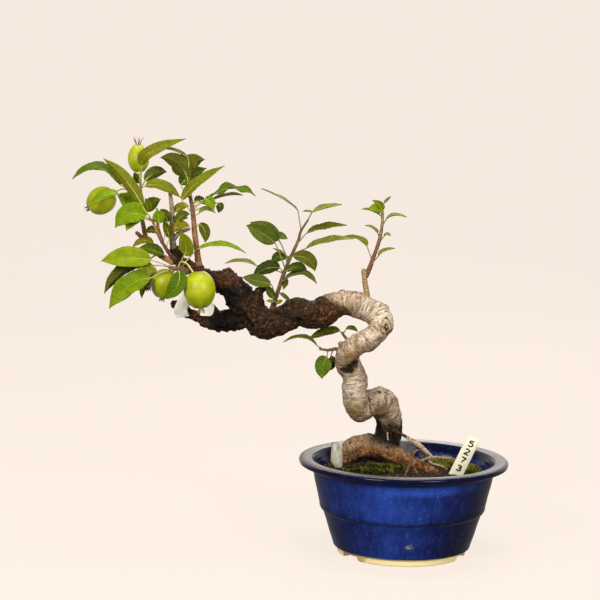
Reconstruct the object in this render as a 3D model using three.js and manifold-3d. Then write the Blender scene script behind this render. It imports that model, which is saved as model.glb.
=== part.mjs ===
// A small-fruited apple tree grown as a bonsai: a twisted trunk on a humped surface root,
// leafy shoots with green apples, and a flared round pot of blue glazed stoneware on a foot ring.
// Millimetres, +Z up, +Y away from the front. The pot stands on z = 0.
import * as THREE from "three";
import { mergeVertices } from "three/addons/utils/BufferGeometryUtils.js";
import Module from "manifold-3d";

const wasm = await Module();
wasm.setup();

// Driving dimensions
const POT_RIM_RADIUS = 120;
const POT_AXIS_X = 130;
const POT_HEIGHT = 110;
const FOOT_RADIUS = 74;
const SOIL_EDGE_RADIUS = 96;
const SOIL_EDGE_Z = 92;
const SOIL_MOUND = 9;
const POT_SEGMENTS = 28;
const GAP = 0.3;
const LEAF_THICKNESS = 0.8;
const STALK_RADIUS = 0.8;
const ROOT_SINK = 1.8;

// The front view: a place on the tree is [column, row, depth]. Column and row are those of a
// 600 by 600 picture taken from the front, and depth is in millimetres behind the pot's axis.
const VIEW = {
  centre: 300,
  focal: 1923,
  distance: 2200,
  pitch: THREE.MathUtils.degToRad(6.6),
  roll: THREE.MathUtils.degToRad(1.1),
  rimColumn: 403.4,
  rimRow: 460.5,
  rimZ: 106,
};

// Turns a picture offset upright, as if the picture had no roll.
function upright(column, row) {
  const across = column - VIEW.centre;
  const down = row - VIEW.centre;
  const c = Math.cos(VIEW.roll);
  const s = Math.sin(VIEW.roll);
  return [across * c + down * s, down * c - across * s];
}

const FORWARD = new THREE.Vector3(0, Math.cos(VIEW.pitch), -Math.sin(VIEW.pitch));
const UPWARD = new THREE.Vector3(0, Math.sin(VIEW.pitch), Math.cos(VIEW.pitch));
const EYE = (() => {
  const [across, down] = upright(VIEW.rimColumn, VIEW.rimRow);
  const scale = VIEW.distance / VIEW.focal;
  return new THREE.Vector3(POT_AXIS_X - across * scale, 0, VIEW.rimZ)
    .addScaledVector(UPWARD, down * scale)
    .addScaledVector(FORWARD, -VIEW.distance);
})();

// The point in space that the front view shows at a column and row, at a depth.
function place([column, row, depth]) {
  const [across, down] = upright(column, row);
  const ray = new THREE.Vector3(across, 0, 0)
    .addScaledVector(UPWARD, -down)
    .addScaledVector(FORWARD, VIEW.focal);
  return EYE.clone().addScaledVector(ray, (depth - EYE.y) / ray.y);
}

// Solids
function solidOf(geometry) {
  const bare = new THREE.BufferGeometry();
  bare.setAttribute("position", geometry.getAttribute("position"));
  if (geometry.index) bare.setIndex(geometry.index);
  const merged = mergeVertices(bare, 1e-4);
  return new wasm.Manifold(
    new wasm.Mesh({
      numProp: 3,
      vertProperties: new Float32Array(merged.attributes.position.array),
      triVerts: new Uint32Array(merged.index.array),
    }),
  );
}

function geometryOf(solid) {
  const mesh = solid.getMesh();
  const geometry = new THREE.BufferGeometry();
  geometry.setAttribute("position", new THREE.BufferAttribute(mesh.vertProperties, 3));
  geometry.setIndex(new THREE.BufferAttribute(mesh.triVerts, 1));
  return geometry;
}

function union(solids) {
  return solids.reduce((whole, next) => whole.add(next));
}

// The largest body of a solid that a cut left in several: scraps are dropped.
function largestBody(solid) {
  const bodies = solid.decompose();
  return bodies.reduce((best, next) => (next.volume() > best.volume() ? next : best));
}

// A closed skin over rings of points, each ring the same length, with a point at both ends.
function skin(rings, first, last) {
  const sides = rings[0].length;
  const points = [first, ...rings.flat(), last];
  const at = (ring, side) => 1 + ring * sides + (side % sides);
  const faces = [];
  for (let side = 0; side < sides; side++) {
    faces.push(0, at(0, side + 1), at(0, side));
    faces.push(points.length - 1, at(rings.length - 1, side), at(rings.length - 1, side + 1));
    for (let ring = 0; ring + 1 < rings.length; ring++) {
      faces.push(at(ring, side), at(ring, side + 1), at(ring + 1, side + 1));
      faces.push(at(ring, side), at(ring + 1, side + 1), at(ring + 1, side));
    }
  }
  const geometry = new THREE.BufferGeometry();
  geometry.setFromPoints(points);
  geometry.setIndex(faces);
  return geometry;
}

// Wood: a limb is a round tube through stops of [column, row, depth, radius], with domed ends.
// Its bark swells a little round the tube, by a formula that runs along the limb.
const BARK_SWELL = 0.05;

function swell(angle, along) {
  return 1 + BARK_SWELL * (Math.sin(3 * angle + along / 9) + Math.sin(2 * angle - along / 6));
}

function limb(stops, { sides = 12, step = 9, extra = 0, rough = true } = {}) {
  const curve = new THREE.CatmullRomCurve3(stops.map((stop) => place(stop)));
  const lengths = curve.getLengths(200);
  const total = lengths[200];
  const count = Math.max(2, Math.round(total / step));
  const radiusAt = (t) => {
    const span = t * (stops.length - 1);
    const index = Math.min(Math.floor(span), stops.length - 2);
    return THREE.MathUtils.lerp(stops[index][3], stops[index + 1][3], span - index) + extra;
  };
  const domes = [0.75, 0.35];
  const marks = [];
  domes.forEach((back) => marks.push({ t: 0, back: -back }));
  for (let i = 0; i <= count; i++) marks.push({ t: i / count, back: 0 });
  [...domes].reverse().forEach((back) => marks.push({ t: 1, back }));
  const normal = new THREE.Vector3(0, 1, 0);
  const rings = marks.map(({ t, back }) => {
    const tangent = curve.getTangent(t);
    const radius = radiusAt(t);
    const centre = curve.getPoint(t).addScaledVector(tangent, back * radius);
    const ringRadius = radius * Math.sqrt(1 - back * back);
    normal.addScaledVector(tangent, -normal.dot(tangent)).normalize();
    const side = tangent.clone().cross(normal);
    return Array.from({ length: sides }, (_, i) => {
      const angle = (i / sides) * 2 * Math.PI;
      const reach = ringRadius * (rough ? swell(angle, t * total) : 1);
      return centre
        .clone()
        .addScaledVector(normal, Math.cos(angle) * reach)
        .addScaledVector(side, Math.sin(angle) * reach);
    });
  });
  const start = curve.getPoint(0).addScaledVector(curve.getTangent(0), -radiusAt(0));
  const end = curve.getPoint(1).addScaledVector(curve.getTangent(1), radiusAt(1));
  return solidOf(skin(rings, start, end));
}

// A thin stalk through points in space, from radius to radius.
function stalk(points, radius, endRadius = radius, sides = 3) {
  const curve = new THREE.CatmullRomCurve3(points);
  const count = points.length - 1;
  const normal = new THREE.Vector3(0.3, 1, 0.2);
  const rings = [];
  for (let i = 0; i <= count; i++) {
    const tangent = curve.getTangent(i / count);
    normal.addScaledVector(tangent, -normal.dot(tangent)).normalize();
    const side = tangent.clone().cross(normal);
    const reach = THREE.MathUtils.lerp(radius, endRadius, i / count);
    const centre = curve.getPoint(i / count);
    rings.push(
      Array.from({ length: sides }, (_, k) => {
        const angle = (k / sides) * 2 * Math.PI;
        return centre
          .clone()
          .addScaledVector(normal, Math.cos(angle) * reach)
          .addScaledVector(side, Math.sin(angle) * reach);
      }),
    );
  }
  return solidOf(skin(rings, curve.getPoint(0), curve.getPoint(1)));
}

// Leaves: a blade runs from its base over its mid point to its tip. `wide` is its width, `turn`
// says where its upper face looks (0 up, 90 to the front, -90 to the back), `fold` raises its
// margins in degrees, and `wave` ripples them.
const TOOTH = 0.07;

function outline(t) {
  return 2.65 * Math.pow(t, 0.62) * Math.pow(1 - t, 0.8);
}

// The curve of a leaf's midrib, and the direction that its upper face looks in.
function midrib({ base, mid, tip, turn = 30 }) {
  const [start, through, end] = [base, mid, tip].map(place);
  const pull = through.multiplyScalar(2).addScaledVector(start, -0.5).addScaledVector(end, -0.5);
  const turned = THREE.MathUtils.degToRad(turn);
  const up = new THREE.Vector3(0, -Math.sin(turned), Math.cos(turned));
  return { curve: new THREE.QuadraticBezierCurve3(start, pull, end), up };
}

function blade(spec) {
  const { wide, fold = 18, wave = 0.1 } = spec;
  const { curve, up } = midrib(spec);
  const length = curve.getLength();
  const cuts = THREE.MathUtils.clamp(Math.round(length / 8), 4, 6);
  const raise = Math.tan(THREE.MathUtils.degToRad(fold));
  const rows = [];
  for (let i = 0; i <= cuts; i++) {
    const t = i / cuts;
    const centre = curve.getPoint(t);
    const tangent = curve.getTangent(t);
    const over = up.clone().addScaledVector(tangent, -up.dot(tangent)).normalize();
    if (i === 0 || i === cuts) {
      rows.push({ over, points: [centre] });
      continue;
    }
    const side = tangent.clone().cross(over);
    const tooth = 1 + TOOTH * (i % 2 ? 1 : -1);
    const half = (wide / 2) * outline(t) * tooth;
    const margin = (sign) => {
      const ripple = wave * Math.sin(2.4 * i + wide + (sign > 0 ? 0 : 2));
      return centre
        .clone()
        .addScaledVector(side, sign * half)
        .addScaledVector(over, half * (raise + ripple));
    };
    rows.push({ over, points: [margin(-1), centre, margin(1)] });
  }
  return solidOf(plate(rows));
}

// A closed plate of even thickness under rows of points: one point at each end, three between.
function plate(rows) {
  const tops = rows.flatMap((row) => row.points);
  const unders = rows.flatMap((row) =>
    row.points.map((p) => p.clone().addScaledVector(row.over, -LEAF_THICKNESS)),
  );
  const firsts = rows.map((_, i) => rows.slice(0, i).reduce((n, row) => n + row.points.length, 0));
  const index = (row, k) => firsts[row] + (rows[row].points.length === 1 ? 0 : k);
  const faces = [];
  const below = tops.length;
  const face = (a, b, c) => {
    if (a === b || b === c || a === c) return;
    faces.push(a, b, c, below + a, below + c, below + b);
  };
  const rim = (a, b) => {
    if (a === b) return;
    faces.push(a, below + a, b, b, below + a, below + b);
  };
  for (let row = 0; row + 1 < rows.length; row++) {
    for (let k = 0; k < 2; k++) {
      face(index(row, k), index(row, k + 1), index(row + 1, k + 1));
      face(index(row, k), index(row + 1, k + 1), index(row + 1, k));
    }
    rim(index(row + 1, 0), index(row, 0));
    rim(index(row, 2), index(row + 1, 2));
  }
  const geometry = new THREE.BufferGeometry();
  geometry.setFromPoints([...tops, ...unders]);
  geometry.setIndex(faces);
  return geometry;
}

// A leaf with its stalk: the stalk leaves the twig at `from` and runs on inside the midrib.
function leaf(spec) {
  const start = place(spec.from);
  start.addScaledVector(start.clone().sub(place(spec.base)).normalize(), ROOT_SINK);
  const { curve, up } = midrib(spec);
  const inside = (t) => curve.getPoint(t).addScaledVector(up, -LEAF_THICKNESS / 2);
  const middle = start.clone().lerp(inside(0), 0.5);
  middle.z += 0.06 * start.distanceTo(middle);
  const route = [start, middle, inside(0.14)];
  return union([blade(spec), stalk(route, STALK_RADIUS, STALK_RADIUS * 0.8)]);
}

// A flat strip bent along points in space: `across` is the direction of its width.
function strip(points, across, width, thickness) {
  const curve = new THREE.CatmullRomCurve3(points);
  const count = points.length * 2;
  const rings = [];
  for (let i = 0; i <= count; i++) {
    const tangent = curve.getTangent(i / count);
    const side = across.clone().addScaledVector(tangent, -across.dot(tangent)).normalize();
    const over = tangent.clone().cross(side);
    const corners = [[-1, 1], [-1, -1], [1, -1], [1, 1]];
    rings.push(
      corners.map(([along, up]) =>
        curve
          .getPoint(i / count)
          .addScaledVector(side, (along * width) / 2)
          .addScaledVector(over, (up * thickness) / 2),
      ),
    );
  }
  return solidOf(skin(rings, curve.getPoint(0), curve.getPoint(1)));
}

function boxAt(size, position, turn = 0) {
  const box = new THREE.BoxGeometry(...size).rotateZ(turn).translate(...position);
  return solidOf(box);
}

// Turns a profile of [radius, height] about the pot's axis.
function turned(profile, segments) {
  const points = profile.map(([radius, height]) => new THREE.Vector2(radius, height));
  const lathe = new THREE.LatheGeometry(points, segments);
  lathe.deleteAttribute("normal");
  lathe.deleteAttribute("uv");
  return lathe.rotateX(Math.PI / 2).translate(POT_AXIS_X, 0, 0);
}

// Pot: one turned stoneware wall with a wide rolled lip, a step a little below half height, a
// drain hole and an unglazed foot ring that three notches part into feet.
const WALL_INSIDE = [[97, 92], [83.5, 50], [70, 17]];
const DRAIN_RADIUS = 14;
const NOTCH_ANGLES = [-145, -25, 95];
const NOTCH_WIDTH = 26;
const NOTCH_HEIGHT = 5.5;

function pot() {
  const outside = [
    [FOOT_RADIUS - 1, 0], [FOOT_RADIUS + 1, 8], [78.2, 8.6], [90.9, 48.8], [94.4, 51.8],
    [95.6, 60], [103, 91.5], [104, 96.5],
  ];
  const lip = [
    [107.5, 99.8], [115, 101], [POT_RIM_RADIUS - 0.8, 103], [POT_RIM_RADIUS, 105.8],
    [POT_RIM_RADIUS - 1.6, 108.8], [114.5, POT_HEIGHT], [108, POT_HEIGHT - 1],
    [104, POT_HEIGHT - 2], [101.5, 103],
  ];
  const underneath = [
    [60, 13], [DRAIN_RADIUS, 12], [DRAIN_RADIUS, 6], [59, 6], [FOOT_RADIUS - 9, 0],
  ];
  const profile = [...outside, ...lip, ...WALL_INSIDE, ...underneath, outside[0]];
  const wall = solidOf(turned(profile, POT_SEGMENTS));
  const notches = NOTCH_ANGLES.map((degrees) => {
    const angle = THREE.MathUtils.degToRad(degrees);
    const x = POT_AXIS_X + Math.cos(angle) * FOOT_RADIUS;
    const y = Math.sin(angle) * FOOT_RADIUS;
    return boxAt([60, NOTCH_WIDTH, NOTCH_HEIGHT * 2], [x, y, 0], angle);
  });
  return notches.reduce((rest, notch) => rest.subtract(notch), wall);
}

// Soil: a mound that fills the pot inside its wall, uneven on top.
function soilHeight(x, y) {
  const radius = Math.hypot(x - POT_AXIS_X, y);
  const mound = SOIL_MOUND * (1 - Math.pow(radius / SOIL_EDGE_RADIUS, 2));
  const rough = Math.sin(x / 7 + y / 11) * Math.cos(y / 8 - x / 13);
  return SOIL_EDGE_Z + mound + 0.7 * rough;
}

function soil() {
  const rings = 4;
  const top = Array.from({ length: rings + 1 }, (_, i) => [(SOIL_EDGE_RADIUS * i) / rings, 200]);
  const inset = 0.4;
  const side = WALL_INSIDE.map(([radius, height]) => [radius - inset, height]);
  const profile = [[0, 13.6], [59, 13.6], ...side.slice(1).reverse(), ...top.reverse()];
  const body = turned(profile, POT_SEGMENTS);
  const position = body.attributes.position;
  for (let i = 0; i < position.count; i++) {
    if (position.getZ(i) < 199) continue;
    position.setZ(i, soilHeight(position.getX(i), position.getY(i)));
  }
  return solidOf(body);
}

// Moss: a low cushion on the soil, sunk a little into it.
function mossPad({ centre: [x, y], radii: [a, b], height, extra = 0 }) {
  const sides = 12;
  const levels = [0.4, 0.75, 1];
  const rim = { top: -0.7, bottom: -1.4 };
  const point = (share, angle, lift) => {
    const ragged = 1 + 0.09 * Math.sin(3 * angle + x) + 0.06 * Math.sin(5 * angle + y);
    const px = x + Math.cos(angle) * (a * share * ragged + extra);
    const py = y + Math.sin(angle) * (b * share * ragged + extra);
    return new THREE.Vector3(px, py, soilHeight(px, py) + lift);
  };
  const lumps = (share, angle) => 0.8 * Math.sin(4 * angle + 7 * share);
  const rings = levels.map((share) =>
    Array.from({ length: sides }, (_, i) => {
      const angle = -(i / sides) * 2 * Math.PI;
      const bulge = height * Math.sqrt(1 - share * share) + lumps(share, angle);
      return point(share, angle, (share === 1 ? rim.top : bulge) + extra);
    }),
  );
  const foot = Array.from({ length: sides }, (_, i) =>
    point(1, -(i / sides) * 2 * Math.PI, rim.bottom - extra),
  );
  const under = Array.from({ length: sides }, (_, i) =>
    point(0.8, -(i / sides) * 2 * Math.PI, -3 - extra),
  );
  const top = point(0, 0, height + extra);
  return solidOf(skin([...rings, foot, under], top, point(0, 0, -3 - extra)));
}

const MOSS = {
  moss_front: { centre: [94, -24], radii: [36, 17], height: 4 },
  moss_middle: { centre: [179, 28], radii: [17, 34], height: 6 },
  moss_right: { centre: [209, 8], radii: [10, 22], height: 4 },
};

// Trunk: a base, a hump, a hanging knot in front, a bent stem and a long low branch to the left,
// all one grown piece with the fat surface root. Each stop is [column, row, depth, radius].
const TRUNK_LIMBS = [
  { stops: [
    [388, 476, 50, 17], [388, 456, 48, 17], [389, 440, 46, 16], [389, 426, 44, 15.5],
    [387, 412, 38, 15.5], [381, 402, 28, 16], [371, 402, 17, 16], [361, 408, 6, 15],
    [356, 403, 0, 14], [355, 390, -2, 14], [354, 376, -5, 14], [349, 364, -9, 14],
    [348, 354, -13, 13], [356, 347, -16, 12.5], [368, 340, -16, 12.5], [377, 332, -13, 13],
    [381, 322, -6, 14], [374, 312, 2, 14], [361, 306, 7, 14], [348, 303, 8, 14],
    [335, 306, 8, 15], [322, 312, 7, 17], [310, 314, 6, 16.5], [298, 312, 5, 15.5],
    [286, 318, 4, 16], [275, 322, 3, 17], [264, 323, 2, 17], [254, 316, 1, 17.5],
    [246, 305, 0, 17], [238, 294, 0, 16], [228, 284, 0, 15], [214, 280, 2, 11],
    [203, 275, 4, 9], [191, 268, 4, 7.5], [181, 262, 2, 7], [176, 252, 1, 7],
  ], sides: 9, step: 12 },
  { stops: [
    [341, 462, 30, 13], [350, 453, 33, 14], [362, 447, 34, 14.5], [375, 448, 28, 14.5],
    [388, 454, 17, 13.5], [400, 460, 4, 12], [412, 465, -8, 10], [424, 469, -18, 8],
    [436, 474, -26, 5],
  ], sides: 8, step: 13 },
  { stops: [
    [252, 312, 2, 15], [240, 316, 6, 14.5], [228, 320, 8, 13.5], [214, 322, 8, 11],
    [202, 319, 6, 8], [190, 313, 4, 6.5], [174, 304, 4, 4.5],
  ], sides: 8, step: 12 },
];

const TRUNK_STUBS = [
  { stops: [[380, 400, 26, 10], [380, 393, 20, 8.5]] },
  { stops: [[346, 354, -12, 9], [338, 345, -12, 6]] },
  { stops: [[384, 328, -12, 7], [387, 327, -19, 5]] },
  { stops: [[256, 306, 0, 9], [258, 293, -3, 6], [265, 287, -4, 4]] },
  { stops: [[230, 284, 0, 7], [229, 271, 0, 3.5]] },
  { stops: [[342, 302, 8, 10], [342, 295, 6, 6]] },
  { stops: [[383, 316, -2, 8], [385, 309, 0, 5]] },
];

const THIN_ROOTS = [
  { stops: [[392, 430, 30, 3], [403, 435, 20, 2.2], [415, 442, 8, 2], [432, 457, -6, 1.8]] },
  { stops: [[408, 462, -4, 3], [416, 452, -16, 1.8], [410, 461, -24, 1.6], [405, 477, -32, 1.5]] },
  { stops: [[420, 462, -12, 3], [430, 457, -18, 1.8], [443, 457, -16, 1.5], [457, 464, -12, 1.4]] },
];

function trunkWood(extra = 0) {
  const small = { sides: 6, step: 16, extra, rough: false };
  const thin = { sides: 4, step: 16, extra, rough: false };
  return union([
    ...TRUNK_LIMBS.map(({ stops, sides, step }) => limb(stops, { sides, step, extra })),
    ...TRUNK_STUBS.map(({ stops }) => limb(stops, small)),
    ...THIN_ROOTS.map(({ stops }) => limb(stops, thin)),
  ]);
}

// Shoots: each has stems, as limbs, and leaves. A leaf grows from a place on a stem, and its blade
// has a base, a mid point and a tip.
function grows(from, base, mid, tip, shape) {
  return { from, base, mid, tip, ...shape };
}

const SHOOTS = {
  left_twig: {
    stems: [
      [[172, 262, 4, 4], [156, 252, 11, 3.2], [147, 240, 11, 3], [143, 224, 9, 2.8],
        [141, 206, 6, 2.4], [141, 192, 4, 2], [140, 180, 3, 1.3], [139, 168, 2, 0.9]],
      [[146, 241, 11, 2.6], [137, 233, 8, 2.4]],
    ],
    leaves: [
      grows([140, 192, 4], [121, 185, -4], [98, 168, -10], [72, 179, -16], { wide: 20, turn: 24 }),
      grows([140, 194, 4], [119, 194, -19], [104, 196, -26], [89, 207, -27], { wide: 17, turn: 26 }),
      grows([141, 188, 3], [143, 172, -7], [151, 151, -16], [188, 140, -12], { wide: 18, turn: 62 }),
      grows([141, 188, 3], [145, 181, 7], [155, 173, 11], [167, 172, 13], { wide: 15, turn: -66 }),
      grows([141, 188, 3], [145, 186, 0], [162, 186, -4], [181, 198, -6], { wide: 15, turn: 45 }),
      grows([141, 214, 7], [143, 211, 3], [131, 202, 0], [117, 195, -3], { wide: 22, turn: 70 }),
      grows([142, 215, 7], [147, 212, 8], [152, 204, 8], [161, 199, 8], { wide: 15, turn: -60 }),
      grows([142, 214, 7], [148, 211, 2], [148, 205, 0], [145, 198, -1], { wide: 8, turn: 60 }),
      grows([141, 188, 3], [140, 183, 8], [137, 178, 9], [134, 172, 10], { wide: 9, turn: 60 }),
      grows([157, 253, 11], [153, 244, 6], [144, 241, 4], [132, 247, 2], { wide: 12, turn: 35 }),
      grows([168, 259, 6], [164, 254, 3], [152, 249, 0], [138, 248, -2], { wide: 14, turn: 34 }),
    ],
  },
  diagonal_twig: {
    stems: [
      [[178, 262, 0, 4], [170, 254, -8, 3.4], [160, 238, -12, 3], [155, 227, -11, 2.6],
        [152, 220, -11, 2]],
      [[162, 242, -12, 2], [158, 226, -9, 1.6], [157, 209, -6, 1.2]],
    ],
    leaves: [
      grows([152, 221, -11], [146, 213, -15], [127, 181, -17], [103, 158, -14], { wide: 20, turn: -78 }),
      grows([152, 221, -11], [146, 217, -14], [130, 214, -19], [115, 228, -22], { wide: 24, turn: 72 }),
      grows([152, 221, -11], [142, 218, -13], [133, 221, -16], [126, 231, -19], { wide: 13, turn: 62 }),
      grows([159, 230, -10], [159, 223, -15], [158, 216, -17], [155, 208, -18], { wide: 14, turn: 75 }),
      grows([163, 243, -12], [168, 222, -5], [165, 215, -6], [160, 209, -7], { wide: 12, turn: 70 }),
      grows([166, 249, -11], [169, 238, -6], [167, 229, -9], [163, 221, -10], { wide: 9, turn: 70 }),
      grows([159, 237, -12], [156, 233, -8], [151, 230, -6], [146, 233, -5], { wide: 10, turn: 50 }),
    ],
  },
  grey_twig: {
    stems: [
      [[176, 256, 2, 5], [173, 244, 3, 3.6], [172, 232, 2, 2.9], [172, 214, 2, 2.6],
        [171, 200, 2, 2.3], [170, 193, 2, 2]],
      [[173, 240, 3, 3], [179, 233, -1, 2.4], [189, 229, -4, 2]],
    ],
    leaves: [
      grows([173, 234, 2], [172, 231, -5], [180, 226, -8], [190, 226, -9], { wide: 13, turn: 52 }),
      grows([172, 226, 2], [176, 222, -3], [182, 216, -5], [190, 214, -6], { wide: 12, turn: 56 }),
      grows([172, 214, 2], [175, 212, 5], [181, 207, 6], [189, 206, 6], { wide: 11, turn: 52 }),
      grows([172, 226, 2], [175, 224, 3], [181, 219, 5], [188, 218, 6], { wide: 10, turn: 30 }),
    ],
  },
  right_twig: {
    stems: [
      [[200, 276, 4, 5], [199, 268, 3, 4.4], [198, 258, 2, 3.6], [196.5, 246, 2, 3.2],
        [194.5, 232, 2, 3], [193.5, 218, 3, 2.7], [192, 206, 4, 2.3], [190.5, 197, 4, 1.9],
        [190, 190, 4, 1.3]],
    ],
    leaves: [
      grows([191, 199, 4], [188, 181, -2], [180, 164, -7], [159, 156, -11], { wide: 18, turn: -72 }),
      grows([191, 199, 4], [189, 178, 1], [194, 166, 3], [205, 159, 4], { wide: 17, turn: -66 }),
      grows([191, 199, 4], [188, 176, -1], [186, 165, -1], [184, 153, -1], { wide: 14, turn: -80 }),
      grows([190, 190, 4], [189, 158, -8], [174, 151, -12], [157, 149, -14], { wide: 8, turn: 22 }),
      grows([192, 203, 4], [181, 185, 12], [190, 176, 14], [207, 168, 15], { wide: 17, turn: 62 }),
      grows([192, 214, 3], [182, 200, -3], [197, 183, -7], [227, 165, -11], { wide: 15, turn: 52 }),
      grows([192, 204, 4], [207, 199, 0], [232, 188, -5], [256, 196, -9],
        { wide: 13, turn: 28, wave: 0.5 }),
      grows([192, 207, 4], [211, 200, 6], [228, 195, 5], [243, 195, 4], { wide: 10, turn: 14 }),
      grows([193, 210, 3], [205, 199, -5], [210, 202, -8], [214, 210, -10], { wide: 12, turn: 72 }),
      grows([193, 211, 3], [219, 203, 1], [220, 207, 0], [218, 213, -1], { wide: 9, turn: 78 }),
      grows([192, 204, 4], [195, 202, 8], [200, 200, 10], [206, 205, 11], { wide: 10, turn: 50 }),
      grows([193, 217, 3], [199, 213, -1], [206, 209, -3], [216, 213, -5], { wide: 8, turn: 34 }),
      grows([195, 228, 2], [199, 224, 0], [205, 231, -2], [205, 243, -3], { wide: 12, turn: 80 }),
    ],
  },
  front_spur: {
    stems: [[[186, 273, -3, 5], [180, 270, -8, 4], [172, 268, -12, 3], [169, 266, -13, 2.4]]],
    leaves: [
      grows([172, 268, -12], [151, 260, -23], [127, 258, -31], [101, 261, -35], { wide: 25, turn: 62 }),
      grows([172, 269, -12], [150, 278, -21], [128, 286, -30], [109, 309, -34],
        { wide: 24, turn: 66, wave: 0.25 }),
      grows([170, 267, -13], [152, 265, -13], [124, 270, -19], [104, 294, -22], { wide: 18, turn: -48 }),
      grows([171, 269, -13], [153, 278, -18], [144, 286, -19], [142, 299, -20], { wide: 8, turn: 60 }),
      grows([179, 268, -8], [184, 255, -16], [186, 246, -18], [180, 231, -20], { wide: 17, turn: 80 }),
      grows([181, 268, -8], [197, 249, -13], [222, 243, -18], [246, 254, -22], { wide: 14, turn: 24 }),
      grows([178, 271, -11], [179, 271, -30], [177, 286, -40], [163, 299, -42],
        { wide: 19, turn: 70, fold: 28 }),
    ],
  },
  middle_shoot: {
    stems: [
      [[272, 312, 0, 4], [275, 300, -2, 3], [277.5, 290, -4, 2.6], [282, 276, -6, 2.4],
        [287, 262, -7, 2.1], [293, 250, -8, 1.9], [298, 240, -8, 1.7], [300, 232, -8, 1.5],
        [304, 226, -8, 1.3], [308, 220, -8, 1.1]],
    ],
    leaves: [
      grows([285, 268, -7], [269, 245, -14], [259, 235, -18], [246, 225, -20], { wide: 22, turn: 78 }),
      grows([288, 260, -7], [279, 240, -9], [266, 231, -9], [250, 222, -8], { wide: 20, turn: 64 }),
      grows([288, 260, -7], [277, 236, -7], [281, 236, -8], [288, 239, -9], { wide: 9, turn: 60 }),
      grows([301, 230, -8], [298, 210, -6], [284, 199, -8], [261, 188, -10],
        { wide: 13, turn: 7, fold: 8 }),
      grows([307, 222, -8], [312, 212, -11], [325, 208, -13], [342, 204, -15], { wide: 15, turn: 16 }),
      grows([307, 222, -8], [312, 212, -9], [308, 211, -8], [303, 211, -7], { wide: 6, turn: 10 }),
      grows([295, 247, -8], [309, 231, -15], [326, 225, -18], [347, 225, -20], { wide: 17, turn: 20 }),
      grows([290, 256, -7], [307, 247, -14], [328, 240, -19], [352, 237, -22], { wide: 16, turn: 18 }),
      grows([288, 260, -7], [292, 256, -12], [308, 258, -18], [315, 271, -22], { wide: 16, turn: 58 }),
      grows([287, 262, -7], [286, 259, -2], [279, 257, 1], [271, 262, 3], { wide: 13, turn: 60 }),
      grows([289, 258, -8], [284, 253, -3], [279, 251, -3], [273, 248, -3], { wide: 4, turn: 40 }),
      grows([283, 273, -6], [256, 265, 8], [241, 261, 10], [225, 263, 12], { wide: 11, turn: 13 }),
      grows([284, 272, -6], [280, 267, -1], [267, 266, 1], [252, 274, 3], { wide: 17, turn: 46 }),
      grows([276, 297, -3], [268, 284, -9], [255, 280, -13], [242, 278, -16], { wide: 16, turn: 50 }),
      grows([276, 296, -3], [274, 298, -8], [270, 292, -9], [266, 284, -10], { wide: 9, turn: 70 }),
      grows([283, 273, -6], [286, 271, -11], [297, 267, -14], [307, 269, -16], { wide: 12, turn: 46 }),
      grows([280, 282, -5], [284, 280, -11], [302, 273, -15], [317, 284, -19], { wide: 12, turn: 28 }),
      grows([280, 282, -5], [282, 280, -3], [285, 282, -3], [283, 290, -3], { wide: 8, turn: 70 }),
      grows([277, 294, -3], [280, 292, -8], [285, 296, -10], [290, 303, -12], { wide: 7, turn: 55 }),
      grows([275, 300, -2], [276, 303, -11], [279, 302, -12], [283, 300, -13], { wide: 5, turn: 60 }),
      grows([275, 300, -2], [273, 302, -12], [270, 301, -12], [266, 301, -12], { wide: 4, turn: 60 }),
    ],
  },
  right_shoot: {
    stems: [
      [[367, 304, 6, 4], [366.5, 292, 6, 3.2], [365, 282, 6, 3.1], [364, 271, 6, 3]],
      [[366, 276, 6, 2.8], [370, 267, 5, 2.6], [374, 256, 4, 2.3], [378, 245, 3, 2.1],
        [380.5, 235, 3, 1.9], [382, 225, 3, 1.7], [382.5, 214, 3, 1.6], [381.5, 205, 3, 1.3]],
    ],
    leaves: [
      grows([382, 215, 3], [382, 213, -1], [376, 208, -3], [368, 210, -5], { wide: 10, turn: 62 }),
      grows([382, 211, 3], [382, 210, 0], [380, 205, -1], [372, 200, -2], { wide: 8, turn: 62 }),
      grows([382, 217, 3], [380, 215, 5], [372, 210, 6], [361, 209, 7], { wide: 5, turn: 40 }),
      grows([382, 206, 3], [384, 203, 4], [387, 200, 4], [391, 196, 5], { wide: 4, turn: 40 }),
      grows([382, 227, 3], [386, 219, -1], [395, 215, -3], [407, 217, -5], { wide: 9, turn: 14 }),
      grows([380, 239, 3], [378, 233, 5], [373, 228, 6], [365, 225, 7], { wide: 7, turn: 16 }),
      grows([381, 240, 3], [384, 236, 0], [387, 234, -1], [391, 236, -2], { wide: 5, turn: 30 }),
      grows([372, 264, 4], [378, 256, -2], [384, 251, -4], [395, 248, -6], { wide: 9, turn: 22 }),
      grows([372, 260, 4], [367, 246, 8], [359, 239, 10], [343, 236, 12], { wide: 12, turn: 16 }),
    ],
  },
  low_shoot: {
    stems: [[[350, 356, -8, 3.4], [337, 349, -6, 2], [328, 350, -7, 1.6], [320, 349, -8, 1.3]]],
    leaves: [
      grows([321, 349, -8], [317, 345, -9], [302, 337, -11], [283, 342, -12], { wide: 10, turn: 16 }),
      grows([328, 350, -7], [327, 357, -9], [323, 366, -13], [322, 379, -15], { wide: 19, turn: 80 }),
      grows([333, 350, -7], [331, 356, -4], [332, 363, -3], [329, 371, -2], { wide: 10, turn: 80 }),
    ],
  },
  under_leaf: {
    stems: [[[353, 346, -14, 2.4], [346, 338, -9, 1.7], [342, 333, 3, 1.3]]],
    leaves: [
      grows([343, 334, 1], [340, 331, 13], [326, 332, 18], [308, 339, 20], { wide: 12, turn: 48 }),
    ],
  },
};

function stemWood({ stems }, extra = 0) {
  return union(stems.map((stops) => limb(stops, { sides: 5, step: 18, extra, rough: false })));
}

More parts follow.
